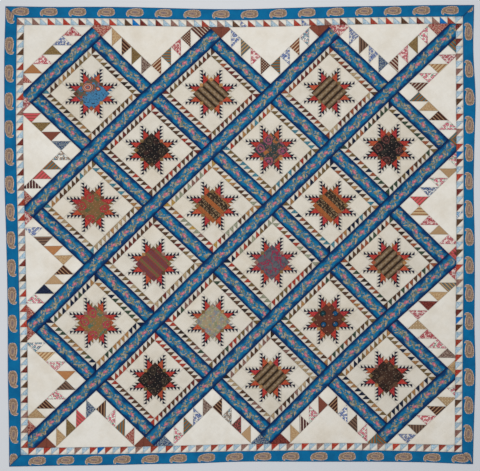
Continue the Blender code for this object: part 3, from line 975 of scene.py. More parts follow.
def paintPaisleyBody(tree, point):
    # Inside a paisley: bands that follow its outline, beaded rows and a violet-grey heart.
    look = borderLook
    along, across = alongAcross(tree, point)
    x = times(tree, minus(tree, along, look["heart"][0]), 1 / look["bodySize"][0])
    y = times(tree, minus(tree, across, look["heart"][1]), 1 / look["bodySize"][1])
    gap = roundGap(tree, x, y)
    around = times(tree, calc(tree, "ARCTAN2", y, x), look["beads"])
    beads = ramp(tree, calc(tree, "SINE", around), -0.1, 0.3)
    tone = printOver(tree, look["body"], look["bodyDark"], speckle(tree, point, 170.0, 0.48, 0.60))
    row = minus(tree, ramp(tree, gap, 0.66, 0.72), ramp(tree, gap, 0.80, 0.86))
    tone = printOver(tree, tone, look["dots"], times(tree, row, beads), 0.8)
    pale = minus(tree, ramp(tree, gap, 0.46, 0.50), ramp(tree, gap, 0.58, 0.62))
    tone = printOver(tree, tone, look["line"], pale, 0.35)
    tone = printOver(tree, tone, look["core"], ramp(tree, gap, 0.40, 0.26), 0.7)
    return printOver(tree, tone, look["dots"], times(tree, ramp(tree, gap, 0.17, 0.12), beads))


def paintUnderside(tree, point):
    cloud = noiseOf(tree, point, 7.0, 4.0, 0.6)
    return printOver(tree, (226, 218, 200), (214, 204, 184), ramp(tree, cloud, 0.3, 0.75))


prints = {
    # Name of the cloth, how it is painted, how far it has yellowed
    "muslin": ("muslin", paintMuslin, 1.0),
    "dyed": ("dyedCotton", paintDyed, 0.3),
    "calico": ("calicoPrint", paintCalico, 0.5),
    "sprigs": ("sprigPrint", paintSprigs, 0.6),
    "stripes": ("stripedCotton", paintStripes, 0.4),
    "check": ("checkedCotton", paintCheck, 0.4),
    "chintz": ("chintzPrint", paintChintz, 0.4),
    "scroll": ("scrollPrint", paintScroll, 0.4),
    "ombre": ("ombreStripe", paintOmbre, 0.4),
    "bands": ("bandedChintz", paintBands, 0.4),
    "diaper": ("diaperPrint", paintDiaper, 0.4),
    "mottle": ("mottledPrint", paintMottle, 0.4),
    "veins": ("veinedPrint", paintVeins, 0.4),
    "medallions": ("medallionPrint", paintMedallions, 0.4),
    "sashPrint": ("sashPrint", paintSashPrint, 0.25),
    "borderBlue": ("borderBlue", paintBorderBlue, 0.2),
    "paisleyLine": ("paisleyLine", paintPaisleyLine, 0.3),
    "paisleyBody": ("paisleyBody", paintPaisleyBody, 0.3),
    "underside": ("undersideMuslin", paintUnderside, 1.0),
}
clothMaterials = {kind: makeCloth(kind) for kind in prints}
print("cloths made:", len(clothMaterials))


# Patchwork shapes

def halves(square, cornerX, cornerY):
    # A square cut from corner to corner: first the half at the chosen corner, then the other.
    xs, ys = (square[0], square[2]), (square[1], square[3])
    near = (xs[cornerX], ys[cornerY])
    far = (xs[1 - cornerX], ys[1 - cornerY])
    return [near, (far[0], near[1]), (near[0], far[1])], [far, (near[0], far[1]), (far[0], near[1])]


def boxCorners(left, bottom, right, top):
    return [(left, bottom), (right, bottom), (right, top), (left, top)]


def clipCorners(corners, normal, limit):
    # The part of an outline that lies on the near side of a straight cut.
    corners = np.array(corners, float)
    beyond = corners @ np.array(normal) - limit
    beyond[np.abs(beyond) < 1e-7] = 0.0
    kept = []
    for index, here in enumerate(beyond):
        following = (index + 1) % len(corners)
        if here <= 0:
            kept.append(corners[index])
        if here * beyond[following] < 0:
            share = here / (here - beyond[following])
            kept.append(corners[index] + (corners[following] - corners[index]) * share)
    return np.array(kept)


def outlineArea(corners):
    # In square frame squares.
    following = np.roll(corners, -1, axis=0)
    return abs((corners[:, 0] * following[:, 1] - corners[:, 1] * following[:, 0]).sum()) / 2


fieldLeft, fieldRight, fieldTop, fieldBottom = layout["field"]
halfUnit = unit / 2
smallestPatch = 0.002          # in square frame squares
fieldCuts = (
    ((-halfUnit, -halfUnit), -fieldLeft),
    ((halfUnit, halfUnit), fieldRight),
    ((-halfUnit, halfUnit), -fieldTop),
    ((halfUnit, -halfUnit), fieldBottom),
)


def trimToField(patches):
    # What is left of patches inside the sawtooth border.
    kept = []
    for patch in patches:
        corners = patch["corners"]
        for normal, limit in fieldCuts:
            if len(corners):
                corners = clipCorners(corners, normal, limit)
        if len(corners) > 2 and outlineArea(corners) > smallestPatch:
            patch["corners"] = corners
            kept.append(patch)
    return kept


def clipLine(start, end, corners):
    # The stretch of a straight line inside a convex outline, or nothing.
    start, end = np.array(start, float), np.array(end, float)
    centre = corners.mean(0)
    low, high = 0.0, 1.0
    for first, second in zip(corners, np.roll(corners, -1, axis=0)):
        normal = np.array([second[1] - first[1], first[0] - second[0]])
        if np.dot(centre - first, normal) > 0:
            normal = -normal
        ahead = np.dot(end - start, normal)
        gap = np.dot(first - start, normal)
        if abs(ahead) < 1e-9:
            if gap < 0:
                return None
        elif ahead > 0:
            high = min(high, gap / ahead)
        else:
            low = max(low, gap / ahead)
    if high - low < 1e-3:
        return None
    return start + (end - start) * low, start + (end - start) * high


quilting = {
    # In frame squares
    "hatchSpacing": 1.5,
    "hatchShare": 0.90,         # how much of a plain piece it fills
    "shortest": 0.8,
    "sashShare": 0.62,          # place of a strip's two lines, from its middle to its seam
    "square": (2.95, 4.42),     # near and far side, from the star's middle
    "triangle": (3.22, 4.62, 1.32),
}


def crossHatch(corners):
    # Two sets of quilting lines over a plain piece, kept a little inside its seams.
    centre = corners.mean(0)
    inner = centre + (corners - centre) * quilting["hatchShare"]
    low, high = inner.min(0), inner.max(0)
    spacing = quilting["hatchSpacing"]
    lines = []
    for axis in (0, 1):
        for value in np.arange(math.ceil(low[axis] / spacing) * spacing, high[axis], spacing):
            start, end = np.array(low), np.array(high)
            start[axis] = value
            end[axis] = value
            cut = clipLine(start, end, inner)
            if cut is not None and np.linalg.norm(cut[1] - cut[0]) > quilting["shortest"]:
                lines.append(cut)
    return lines


def ringLines(points):
    # The sides of a closed quilting shape.
    points = [np.array(point, float) for point in points]
    return list(zip(points, points[1:] + points[:1]))


turnChoices = (0.0, 0.25 * math.pi, 0.5 * math.pi, 0.75 * math.pi)


def scrap(corners, cloth):
    return newPatch(corners, cloth, turn=turnChoices[chance.randint(4)])


def choice(names):
    # One of the names by seeded chance; a name given twice comes twice as often.
    return names[chance.randint(len(names))]


# Star blocks

star = {
    "corner": 2.25,            # half width of the printed centre, in frame squares
    "notch": 1.97,             # where a side's notch reaches
    "tooth": 0.43,             # half diagonal of a feather square
    "point": 0.66,             # width of the feather strips at the corner squares
    "inner": 5.0,
    "outer": 6.0,
    "frameFade": 0.80,         # how much light the frame's dark halves keep
}
frameSides = (
    # Where the side lies, where its squares start, whether they run along x, and the dark half's corner
    (5.0, -5.0, True, 1, 0),
    (5.0, -6.0, False, 0, 0),
    (-6.0, -6.0, True, 0, 1),
    (-6.0, -5.0, False, 1, 1),
)
pointReds = ("redCalico", "orangeCalico", "crimsonCalico", "redCalico")
notchScraps = ("oliveBrown", "darkBrown", "rust", "oliveBrown", "mauve", "caramel")
blockLooks = {
    (0, 0): ("blueChintz", 0.0, "blackBrown darkBrown darkBrown caramel tan oliveBrown teal"),
    (2, 0): ("ombreStripe", 0.0, "burgundy darkBrown oliveBrown rust darkBrown"),
    (4, 0): ("ombreStripe", 0.5, "darkBrown burgundy rust tan"),
    (1, 1): ("blackChintz", 0.0, "darkBrown burgundy madder darkBrown"),
    (3, 1): ("tealChintz", 0.0, "oliveBrown caramel darkBrown oliveBrown madder teal"),
    (5, 1): ("blackRedChintz", 0.0, "darkBrown navy oliveBrown forest rust"),
    (0, 2): ("meadowChintz", 0.0, "darkBrown caramel oliveBrown tan teal"),
    (2, 2): ("orangeBands", 0.0, "darkBrown caramel mauve madder mustard sage darkBrown"),
    (4, 2): ("orangeBands", 0.0, "caramel navy darkBrown rust oliveBrown teal"),
    (1, 3): ("brickDiaper", 0.0, "darkBrown burgundy tan oliveBrown"),
    (3, 3): ("greyVein", 0.0, "darkBrown navy oliveBrown madder sage"),
    (5, 3): ("ombreStripe", 0.5, "darkBrown blackBrown forest rust"),
    (0, 4): ("goldChintz", 0.0, "navy forest caramel oliveBrown"),
    (2, 4): ("stonePrint", 0.0, "darkBrown blackBrown oliveBrown mauve forest madder"),
    (4, 4): ("medallions", 0.25, "oliveBrown caramel forest darkBrown rust"),
    (1, 5): ("blackChintz", 0.0, "madder burgundy darkBrown"),
    (3, 5): ("ombreStripe", 0.5, "blackBrown tan darkBrown mauve"),
    (5, 5): ("barkPrint", 0.0, "navy oliveBrown caramel"),
}


def turnedBy(points, quarter):
    # Points turned clockwise by quarter turns.
    turned = np.array(points, float)
    for _ in range(quarter):
        turned = np.stack([turned[:, 1], -turned[:, 0]], 1)
    return turned


def mirrored(points):
    flipped = np.array(points, float)
    flipped[:, 0] = -flipped[:, 0]
    return flipped


def starPatches(middle, centreCloth, centreTurn, ringNames):
    # A feathered star: its printed centre, then each quarter, then the sawtooth frame.
    corner, notch, tooth, point, inner = (star[key] for key in ("corner", "notch", "tooth", "point", "inner"))
    inward = corner - point
    rise = notch + tooth
    tip = 4 * tooth
    middle = np.array(middle, float)
    patches = []

    def add(points, cloth, quarter, flip=False, **settings):
        shape = mirrored(points) if flip else np.array(points, float)
        patches.append(newPatch(turnedBy(shape, quarter) + middle, cloth, **settings))

    side = [(corner - notch, corner), (0.0, notch), (notch - corner, corner), (-inward, corner),
            (-inward, inward), (-corner, inward)]
    outline = np.concatenate([turnedBy(side, quarter) for quarter in (0, 3, 2, 1)])
    centred = {"turn": centreTurn * math.pi, "local": middle, "steady": True}
    patches.append(newPatch(outline + middle, centreCloth, **centred))
    for quarter in range(4):
        add([(-tooth, rise), (0, notch), (tooth, rise), (0, rise + tooth)], choice(notchScraps), quarter)
        add([(0, rise + tooth), (3 * tooth, 3 * tooth + rise + tooth), (tip, tip + rise + tooth),
             (tip + tooth, tip + rise), (corner, tip + rise), (corner, inner), (-corner, inner),
             (-corner, tip + rise), (-tip - tooth, tip + rise), (-tip, tip + rise + tooth),
             (-3 * tooth, 3 * tooth + rise + tooth)], "starMuslin", quarter)
        add(boxCorners(corner, corner, inner, inner), "starMuslin", quarter)
        cornerCloth = choice((centreCloth, centreCloth, choice(notchScraps)))
        laid = centred if cornerCloth == centreCloth else {}
        add(boxCorners(inward, inward, corner, corner), cornerCloth, quarter, **laid)
        for flip in (False, True):
            add([(inward, inward + notch), (inward, corner), (corner - notch, corner)], choice(pointReds),
                quarter, flip, turn=turnChoices[chance.randint(4)])
            for count in (1, 2, 3, 4):
                x, y = count * tooth, count * tooth + rise
                top, low = (x, y + tooth), (x, y - tooth)
                add([top, (x + tooth, y), low], "feather", quarter, flip)
                add([top, (x - tooth, y), low], "starMuslin", quarter, flip)
            length = (inward + notch - corner) / 2
            for number, (cloth, how) in enumerate(((cornerCloth, laid), ("feather", {}))):
                start = corner + number * length
                first, second = halves((inward, start, corner, start + length), 0, 1)
                add(first, cloth, quarter, flip, **how)
                add(second, "starMuslin", quarter, flip)
            add([(inward, inward + notch), (corner, inward + notch), (corner, tip + rise),
                 (tip + tooth, tip + rise), (tip, tip + rise - tooth)], "starMuslin", quarter, flip)
    for fixed, first, alongX, cornerX, cornerY in frameSides:
        for number in range(11):
            start = first + number
            low = np.array((start, fixed) if alongX else (fixed, start)) + middle
            dark, light = halves((*low, *(low + 1)), cornerX, cornerY)
            patches.append(scrap(dark, choice(ringNames)))
            patches[-1]["fade"] *= star["frameFade"]
            patches.append(newPatch(light, "starMuslin"))
    return patches


def starQuilting():
    # A square in each corner patch and a triangle in each side's.
    near, far = quilting["square"]
    tip, base, half = quilting["triangle"]
    lines = []
    for quarter in range(4):
        lines.extend(ringLines(turnedBy([(near, near), (far, near), (far, far), (near, far)], quarter)))
        lines.extend(ringLines(turnedBy([(0.0, tip), (half, base), (-half, base)], quarter)))
    return lines


def sashCell(middle, halfLength, isLong):
    # A blue strip; the print runs along it, with its middle kept on the strip's own.
    sizeX, sizeY = (sash, halfLength) if isLong else (halfLength, sash)
    x, y = middle
    patch = newPatch(boxCorners(x - sizeX, y - sizeY, x + sizeX, y + sizeY), "sashPrint",
                     turn=math.pi / 2 if isLong else 0.0, local=np.array([x, y]), steady=True)
    patch["shift"] = (chance.uniform(-1.0, 1.0), 0.0)
    patches = trimToField([patch])
    lines = []
    for way in (-1.0, 1.0) if isLong else ():
        beside = x + way * quilting["sashShare"] * sash
        cut = clipLine((beside, y - halfLength), (beside, y + halfLength), patches[0]["corners"])
        if cut is not None:
            lines.append(cut)
    return prepareCell(patches, lines)


# Setting triangles: scraps from the right-angled corner outwards, along the long and the short strip

settingScraps = {
    (-1, 1): ("whiteBrown brownTealStripe pinkBrownStripe burgundyFine redFloral",
              "navyFloral rustPlain oliveBrown pinkBrownStripe crimsonWhite"),
    (-1, 3): ("darkTanStripe tanPlain navy whitePink redFloral",
              "tanPrint caramelPlain greyBrownStripe whiteBlue crimsonWhite"),
    (-1, 5): ("greyBrownStripe whitePink darkTanStripe tanPrint redFloral",
              "caramelPlain whitePink tanStripe whiteTeal redFloral"),
    (0, 6): ("navyFloral pinkBrownStripe oliveBrown tanPrint rustPlain",
             "darkTanStripe whitePink brownTealStripe redFloral rustPlain"),
    (2, 6): ("stoneFloral whiteBlue brownTealStripe whitePink navyFloral",
             "darkTanStripe whiteBrown darkFloral tanPlain navyFloral"),
    (4, 6): ("rustPlain whitePink burgundyFine tanPrint burgundy",
             "darkTanStripe whiteBlue greyBrownStripe whitePink brownTealStripe"),
    (1, -1): ("brownCreamStripe brownTealStripe crimsonWhite brownCheck burgundyStripe",
              "stoneFloral oliveBrown darkTanStripe tanPrint redFloral"),
    (3, -1): ("brownTealStripe whiteBlue brownCreamStripe whiteTeal rustPlain",
              "brownCheck whiteCrimson oliveTealStripe whiteBlue rustPlain"),
    (5, -1): ("burgundyStripe whiteCrimson oliveBrown whitePink redFloral",
              "navyFloral whiteBlue greyBrownStripe whiteBlue crimsonWhite"),
    (6, 0): ("burgundyStripe whitePink tanStripe whiteCrimson brownTealStripe",
             "brownTealStripe tanPrint darkTanStripe whitePink brownTealStripe"),
    (6, 2): ("pinkBrownStripe whiteNavy whitePink tanPlain whitePink",
             "tanStripe crimsonWhite tanPlain whiteCrimson pinkBrownStripe"),
    (6, 4): ("whiteCrimson burgundy tanPrint oliveTealStripe crimsonWhite",
             "tanCheck crimsonWhite whitePink stoneFloral tanPrint"),
}
cornerScraps = {
    # Where the first scrap starts in the lattice, then the scraps along the strip
    "corner_triangle_top_left": (
        -1.125, "redFloral caramelPlain whiteCrimson oliveBrown whiteBlue crimsonWhite muslin"),
    "corner_triangle_bottom_right": (
        1.140, "whitePink tanCheck darkTanStripe whiteCrimson greyBrownStripe whiteBlue muslin"),
}
starsBeside = (0, 2, 4, 4, 2, 0)      # how far a row's stars reach from its middle, in lattice steps
outerSeam = 1 + layout["sashHalf"]    # from a lattice crossing to the far seam of the next strip


def settingCell(rowIndex, way):
    # The pieced triangle at one end of a row.
    middle = 2 * rowIndex / unit
    stars = starsBeside[rowIndex]
    reach = (stars + 1) / unit + sash
    inward = 1.0 if rowIndex < 3 else -1.0
    far = middle - inward * (star["outer"] + 2 * sash)
    column = (2 * rowIndex + way * (stars + 2)) // 2
    row = (2 * rowIndex - way * (stars + 2)) // 2
    longNames, shortNames = (names.split() for names in settingScraps[(column, row)])
    apexA, apexB = middle + inward * star["outer"], way * reach
    edgeA, edgeB = apexA - inward * strip, apexB + way * strip
    patches = [newPatch(boxCorners(apexA, apexB, edgeA, edgeB), "muslin")]

    def addSquare(square, cornerPoint, names, count):
        xs, ys = sorted((square[0], square[2])), sorted((square[1], square[3]))
        cornerX = int(abs(cornerPoint[0] - xs[1]) < 1e-6)
        cornerY = int(abs(cornerPoint[1] - ys[1]) < 1e-6)
        first, second = halves((xs[0], ys[0], xs[1], ys[1]), cornerX, cornerY)
        # The last scraps before the border's seam are of one cloth in both halves
        cloth = names[min(count, len(names)) - 1]
        patches.append(scrap(first, cloth))
        patches.append(newPatch(second, "muslin" if count < len(names) else cloth))

    for count in range(1, 7):
        near = apexB + way * strip * count
        addSquare((apexA, near, edgeA, near + way * strip), (edgeA, near), longNames, count)
    for count in range(1, 7):
        near = apexA - inward * strip * count
        addSquare((near, apexB, near - inward * strip, edgeB), (near, edgeB), shortNames, count)
    plain = newPatch(boxCorners(edgeA, edgeB, far, edgeB + way * 40.0), "muslin")
    low, high = sorted((apexA, far))
    for patch in patches + [plain]:
        for normal, limit in (((-1.0, 0.0), -low), ((1.0, 0.0), high)):
            if len(patch["corners"]):
                patch["corners"] = clipCorners(patch["corners"], normal, limit)
    plainParts = trimToField([plain] if len(plain["corners"]) else [])
    patches = trimToField([patch for patch in patches if len(patch["corners"])])
    lines = crossHatch(plainParts[0]["corners"]) if plainParts else []
    return prepareCell(patches + plainParts, lines)


def cornerCell(name):
    # A row of scraps along the outermost long strip, with plain muslin beyond them and at both ends.
    top = name.endswith("left")
    way = -1.0 if top else 1.0
    outer = (-outerSeam if top else 10 + outerSeam) / unit
    inner = outer + way * strip
    begins, names = cornerScraps[name]
    first = begins / unit
    patches = []
    for number, cloth in enumerate(names.split()):
        start = first - way * number * strip
        xs, ys = sorted((outer, inner)), sorted((start, start - way * strip))
        dark, light = halves((xs[0], ys[0], xs[1], ys[1]), int(not top), int(top))
        patches.append(scrap(dark, cloth))
        patches.append(newPatch(light, "muslin"))
    far, spare = 12.0, 4.0
    plainParts = trimToField([newPatch(boxCorners(inner, -far, inner + way * far, far), "muslin")])
    low, high = sorted((first, first - way * len(names.split()) * strip))
    patches.append(newPatch(boxCorners(outer, low - spare, inner, low), "muslin"))
    patches.append(newPatch(boxCorners(outer, high, inner, high + spare), "muslin"))
    return prepareCell(trimToField(patches) + plainParts, crossHatch(plainParts[0]["corners"]))


# Borders, in frame squares from the lattice's origin, +y towards the top edge

def borderPoint(column, row):
    return column * layout["columnStep"] / unitSize, -row * layout["rowStep"] / unitSize


sawLetters = {
    # The first coloured square, every second square's colour from there, and the odd squares between
    "top": (0, "mmrrdrrdddmmrmdrrmrrmddrrddmr",
            {15: "brightBlue", 55: "brightBlue", 29: "whiteBlue", 37: "whiteBlue"}),
    "bottom": (1, "rrrmrrrmrrrmrrmrrmrmrrmmrrmrd", {10: "brightBlue"}),
    "left": (2, "ddrmrmrdmdmrrmmddrrrdddddmmr", {}),
    "right": (1, "ddmmddrmrdrdddddrmdddrrrddrm",
              {12: "whiteSky", 26: "whiteSky", 18: "brightBlue", 40: "brightBlue"}),
}
sawCloths = {"r": ("madder", "brick"), "m": ("mauve", "mauve"), "d": ("burgundy", "darkBrown")}
sawCorner = {"top": (0, 0), "left": (1, 0), "right": (0, 1), "bottom": (0, 1)}    # of the coloured half
sawTurned = {("top", 57): (0, 1), ("bottom", 0): (0, 0)}
sawCount = 58


def sawtoothCells(side):
    bandLeft, bandRight, bandTop, bandBottom = layout["band"]
    firstLetter, letters, others = sawLetters[side]
    wide = side in ("top", "bottom")
    across = {"top": (bandTop, fieldTop), "bottom": (fieldBottom, bandBottom),
              "left": (bandLeft, fieldLeft), "right": (fieldRight, bandRight)}[side]
    along = (bandLeft, bandRight) if wide else (fieldTop, fieldBottom)
    numbers = range(sawCount) if wide else range(1, sawCount - 1)
    spacing = (along[1] - along[0]) / len(numbers)
    patches = []
    for order, number in enumerate(numbers):
        start = along[0] + spacing * order
        if wide:
            left, top = borderPoint(start, across[0])
            right, bottom = borderPoint(start + spacing, across[1])
        else:
            left, top = borderPoint(across[0], start)
            right, bottom = borderPoint(across[1], start + spacing)
        letter = (number - firstLetter) // 2
        if (number - firstLetter) % 2 == 0 and 0 <= letter < len(letters):
            cloth = choice(sawCloths[letters[letter]])
        else:
            cloth = others.get(number, "skyPrint")
        dark, light = halves((left, bottom, right, top), *sawTurned.get((side, number), sawCorner[side]))
        patches.append(scrap(dark, cloth))
        patches.append(newPatch(light, "muslin"))
    return [prepareCell(patches, [])]


paisley = {
    # Outline in millimetres, round end to +x, tail hooked down at -x
    "outline": ((50, 0), (46, 16), (31, 23), (6, 24), (-20, 20), (-38, 12), (-48, -2), (-48, -16), (-42, -24),
                (-32, -25), (-35, -19), (-29, -17), (-19, -19), (-3, -22), (20, -23), (40, -18), (49, -9)),
    "line": 3.4,
    "steps": 3,
    "smallest": 0.01,          # part worth cutting, in square frame squares
    "fromSeam": 0.03,          # room left to the border's seams, in frame squares
}
paisleyRows = {
    # First place, spacing, count, place across the border, quarter turns
    "top": (-0.7234, 0.4826, 15, -1.440, 0),
    "right": (-0.416, 0.4914, 14, 6.352, -1),
    "bottom": (-0.978, 0.4797, 16, 6.412, 0),
    "left": (-0.837, 0.4853, 15, -1.372, 1),
}
paisleyExtras = {
    # Ones at the mitres: column, row and quarter turns
    "top": ((-1.202, -1.440, 0),),
    "right": ((6.352, -1.559, -1), (6.352, -1.068, -1), (6.352, 6.463, -1)),
    "bottom": (),
    "left": ((-1.372, -1.378, 1), (-1.372, 6.44, 1)),
}


def smoothLoop(points, steps):
    # A closed smooth curve through a few points.
    points = np.array(points, float)
    before, after = np.roll(points, 1, axis=0), np.roll(points, -1, axis=0)
    later = np.roll(points, -2, axis=0)
    curve = []
    for share in np.arange(steps) / steps:
        curve.append((2 * points + (after - before) * share
                      + (2 * before - 5 * points + 4 * after - later) * share ** 2
                      + (3 * points - before - 3 * after + later) * share ** 3) / 2)
    return np.stack(curve, 1).reshape(-1, 2)


def insetLoop(points, distance):
    # The outline moved inwards by a distance; the outline runs anticlockwise.
    run = np.roll(points, -1, axis=0) - np.roll(points, 1, axis=0)
    normal = np.stack([-run[:, 1], run[:, 0]], 1) / np.linalg.norm(run, axis=1)[:, None]
    return points + normal * distance


paisleyOuter = smoothLoop(paisley["outline"], paisley["steps"])
paisleyInner = insetLoop(paisleyOuter, paisley["line"])


def paisleyPatches(column, row, quarter, room):
    # The pale line and the body inside it, cut off at the mitres.
    centre = np.array(borderPoint(column, row))
    patches = []
    for shape, cloth in ((paisleyOuter, "paisleyLine"), (paisleyInner, "paisleyBody")):
        corners = turnedBy(shape, -quarter % 4) * mm / unitSize + centre
        for normal, limit in room:
            if len(corners):
                corners = clipCorners(corners, normal, limit)
        if len(corners) > 2 and outlineArea(corners) > paisley["smallest"]:
            patch = newPatch(corners, cloth, turn=quarter * math.pi / 2, local=centre, steady=True)
            patch["printed"] = True
            patches.append(patch)
    return patches


def paisleyCells(side):
    sides = ("left", "right", "top", "bottom")
    outerEdge, innerEdge = (dict(zip(sides, layout[key])) for key in ("edge", "band"))
    wide = side in ("top", "bottom")
    first, last = ("left", "right") if wide else ("top", "bottom")
    shape = []
    for edge, end in ((outerEdge, first), (outerEdge, last), (innerEdge, last), (innerEdge, first)):
        shape.append(borderPoint(edge[end], edge[side]) if wide else borderPoint(edge[side], edge[end]))
    shape = np.array(shape)
    centre = shape.mean(0)
    room = []
    for here, following in zip(shape, np.roll(shape, -1, axis=0)):
        normal = np.array([following[1] - here[1], here[0] - following[0]])
        normal = normal / np.linalg.norm(normal)
        if np.dot(centre - here, normal) > 0:
            normal = -normal
        room.append((normal, np.dot(here, normal) - paisley["fromSeam"]))
    patches = [newPatch(shape, "borderBlue", steady=True)]
    start, spacing, count, across, quarter = paisleyRows[side]
    for number in range(count):
        along = start + spacing * number
        patches.extend(paisleyPatches(*((along, across) if wide else (across, along)), quarter, room))
    for column, row, turn in paisleyExtras[side]:
        patches.extend(paisleyPatches(column, row, turn, room))
    return [prepareCell(patches, [])]


# Sew every piece

def rowCells(rowIndex):
    # Two setting triangles, the stars between them and the short strips beside every star.
    stars = starsBeside[rowIndex]
    middle = 2 * rowIndex / unit
    cells = [settingCell(rowIndex, -1), settingCell(rowIndex, 1)]
    for apart in range(-stars, stars + 1, 2):
        column = (2 * rowIndex + apart) // 2
        row = (2 * rowIndex - apart) // 2
        centreCloth, turn, ringNames = blockLooks[(column, row)]
        offset = np.array([middle, apart / unit])
        block = movedCell(blockTemplate, offset)
        block["patches"] = starPatches(offset, centreCloth, turn, ringNames.split())
        cells.append(block)
    for apart in range(-stars - 1, stars + 2, 2):
        cells.append(sashCell((middle, apart / unit), star["outer"], False))
    return cells


blockTemplate = prepareCell(starPatches((0, 0), "muslin", 0.0, ["tan"]), starQuilting())
dressed = {}
for rowIndex in range(layout["rowCount"]):
    name = "block_row_%d" % (rowIndex + 1)
    dressed[name] = sewPiece(name + "_cloth", rowCells(rowIndex), slantToLattice)
for index, reach in enumerate((0, 2, 4, 11, 4, 2, 0)):
    # The middle strip runs past the field and is trimmed to it
    name = "long_sash_%d" % (index + 1)
    cell = sashCell(((2 * index - 1) / unit, 0.0), (reach + outerSeam) / unit, True)
    dressed[name] = sewPiece(name + "_cloth", [cell], slantToLattice)
for name in cornerScraps:
    dressed[name] = sewPiece(name + "_cloth", [cornerCell(name)], slantToLattice)
for side in ("top", "right", "bottom", "left"):
    name = "sawtooth_border_" + side
    dressed[name] = sewPiece(name + "_cloth", sawtoothCells(side), squareToLattice)
    name = "paisley_border_" + side
    dressed[name] = sewPiece(name + "_cloth", paisleyCells(side), squareToLattice, side)
print("sewn:", len(dressed), "pieces,", sum(len(piece.data.polygons) for piece in dressed.values()), "faces")


# Running stitches along the quilting lines

stitch = {"pitch": 6.4 * mm, "length": 3.6 * mm, "width": 0.7 * mm, "height": 0.5 * mm, "seed": 7}


def plainMaterial(name, tone, roughness):
    material = bpy.data.materials.new(name)
    material.use_nodes = True
    shader = material.node_tree.nodes["Principled BSDF"]
    shader.inputs["Base Color"].default_value = (*linear(tone), 1.0)
    shader.inputs["Roughness"].default_value = roughness
    return material


def makeStitchTree(name, thread):
    # Even beads of thread along every quilting line.
    tree = bpy.data.node_groups.new(name, "GeometryNodeTree")
    inputs = {}
    tree.interface.new_socket("Geometry", in_out="INPUT", socket_type="NodeSocketGeometry")
    for label in ("Pitch", "Length", "Width", "Height"):
        socket = tree.interface.new_socket(label, in_out="INPUT", socket_type="NodeSocketFloat")
        socket.default_value = stitch[label.lower()]
        inputs[label] = socket.identifier
    tree.interface.new_socket("Geometry", in_out="OUTPUT", socket_type="NodeSocketGeometry")
    entry = tree.nodes.new("NodeGroupInput").outputs
    curve = addNode(tree, "GeometryNodeMeshToCurve", {"Mesh": entry["Geometry"]})
    evenly = addNode(tree, "GeometryNodeResampleCurve", {"Curve": curve.outputs[0], "Length": entry["Pitch"]},
                     mode="LENGTH")
    size = addNode(tree, "ShaderNodeCombineXYZ", {"X": entry["Length"], "Y": entry["Width"],
                                                  "Z": entry["Height"]})
    bead = addNode(tree, "GeometryNodeMeshCube", {"Size": size.outputs[0]})
    tangent = addNode(tree, "GeometryNodeInputTangent")
    align = addNode(tree, "FunctionNodeAlignRotationToVector", {"Vector": tangent.outputs[0]}, axis="X")
    uneven = addNode(tree, "FunctionNodeRandomValue", {"Min": (0.80, 0.90, 0.90), "Max": (1.15, 1.10, 1.10),
                                                       "Seed": stitch["seed"]}, data_type="FLOAT_VECTOR")
    laid = addNode(tree, "GeometryNodeInstanceOnPoints", {
        "Points": evenly.outputs[0], "Instance": bead.outputs["Mesh"], "Rotation": align.outputs[0],
        "Scale": uneven.outputs["Value"]})
    solid = addNode(tree, "GeometryNodeRealizeInstances", {"Geometry": laid.outputs[0]})
    dress = addNode(tree, "GeometryNodeSetMaterial", {"Geometry": solid.outputs[0], "Material": thread})
    addNode(tree, "NodeGroupOutput", {"Geometry": dress.outputs[0]})
    return tree, inputs


def sewStitches(name, chains, tree, inputs):
    # The tree runs once over the quilting lines of a piece and leaves a plain mesh of stitches.
    guide = bpy.data.meshes.new(name + "_guide")
    edges = []
    start = 0
    for chain in chains:
        edges.extend((start + k, start + k + 1) for k in range(len(chain) - 1))
        start += len(chain)
    guide.from_pydata(np.concatenate(chains).tolist(), edges, [])
    holder = bpy.data.objects.new(name + "_guide", guide)
    scene.collection.objects.link(holder)
    modifier = holder.modifiers.new("stitches", "NODES")
    modifier.node_group = tree
    for label, identifier in inputs.items():
        modifier[identifier] = stitch[label.lower()]
    holder.update_tag()
    evaluated = holder.evaluated_get(bpy.context.evaluated_depsgraph_get())
    result = bpy.data.objects.new(name, bpy.data.meshes.new_from_object(evaluated))
    bpy.data.objects.remove(holder, do_unlink=True)
    scene.collection.objects.link(result)
    return result


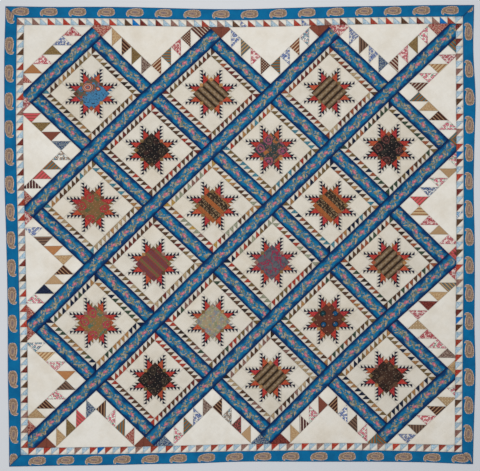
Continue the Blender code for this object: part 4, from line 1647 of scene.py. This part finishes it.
paleStitches = makeStitchTree("paleStitches", plainMaterial("paleThread", (224, 217, 201), 0.85))
blueStitches = makeStitchTree("blueStitches", plainMaterial("blueThread", (40, 78, 122), 0.85))
stitched = []
for name, chains in quiltingPaths.items():
    if chains:
        tree, inputs = blueStitches if name.startswith("long_sash") else paleStitches
        stitched.append(sewStitches(name.replace("_cloth", "_stitches"), chains, tree, inputs))
print("stitches:", sum(len(piece.data.polygons) // 6 for piece in stitched))


# Stage: a pale floor, a camera straight above and soft lamps

view = {
    "floorLevel": -0.0002,
    "floorSize": 60.0,
    "floorTone": (214, 216, 218),
    "lens": 100.0,
    "sensor": 36.0,
    "width": 2.726,            # metres that the photo shows from side to side
    "lookAt": (0.0006, 0.0016),
    "sky": (0.93, 0.95, 1.0, 1.0),
    "skyPower": 0.55,
}
bpy.ops.mesh.primitive_plane_add(size=view["floorSize"], location=(0, 0, view["floorLevel"]))
floor = bpy.context.object
floor.name = "floor"
floor.data.materials.append(plainMaterial("stagePaper", view["floorTone"], 0.9))

cameraData = bpy.data.cameras.new("above")
cameraData.lens = view["lens"]
cameraData.sensor_width = view["sensor"]
camera = bpy.data.objects.new("above", cameraData)
camera.location = (*view["lookAt"], view["width"] * view["lens"] / view["sensor"])
scene.collection.objects.link(camera)
scene.camera = camera

lamps = (
    # Name, place, size, power and colour
    ("overhead", (0.0, 1.1, 3.4), 2.6, 56.0, (1.0, 0.985, 0.96)),
    ("fill", (-1.6, -1.8, 3.0), 2.4, 20.0, (0.94, 0.97, 1.0)),
)
for name, spot, size, power, tone in lamps:
    data = bpy.data.lights.new(name, "AREA")
    data.shape = "SQUARE"
    data.size = size
    data.energy = power
    data.color = tone
    lamp = bpy.data.objects.new(name, data)
    lamp.location = spot
    lamp.rotation_euler = (Vector((0, 0, 0)) - Vector(spot)).to_track_quat("-Z", "Y").to_euler()
    scene.collection.objects.link(lamp)
world = bpy.data.worlds.new("softRoom")
world.use_nodes = True
world.node_tree.nodes["Background"].inputs[0].default_value = view["sky"]
world.node_tree.nodes["Background"].inputs[1].default_value = view["skyPower"]
scene.world = world
scene.view_settings.view_transform = "Standard"


# Every piece and its stitches hang from the root body, and the model's parts that they dress are hidden

for name, piece in dressed.items():
    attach(piece, "root")
    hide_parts(name)
for piece in stitched:
    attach(piece, "root")
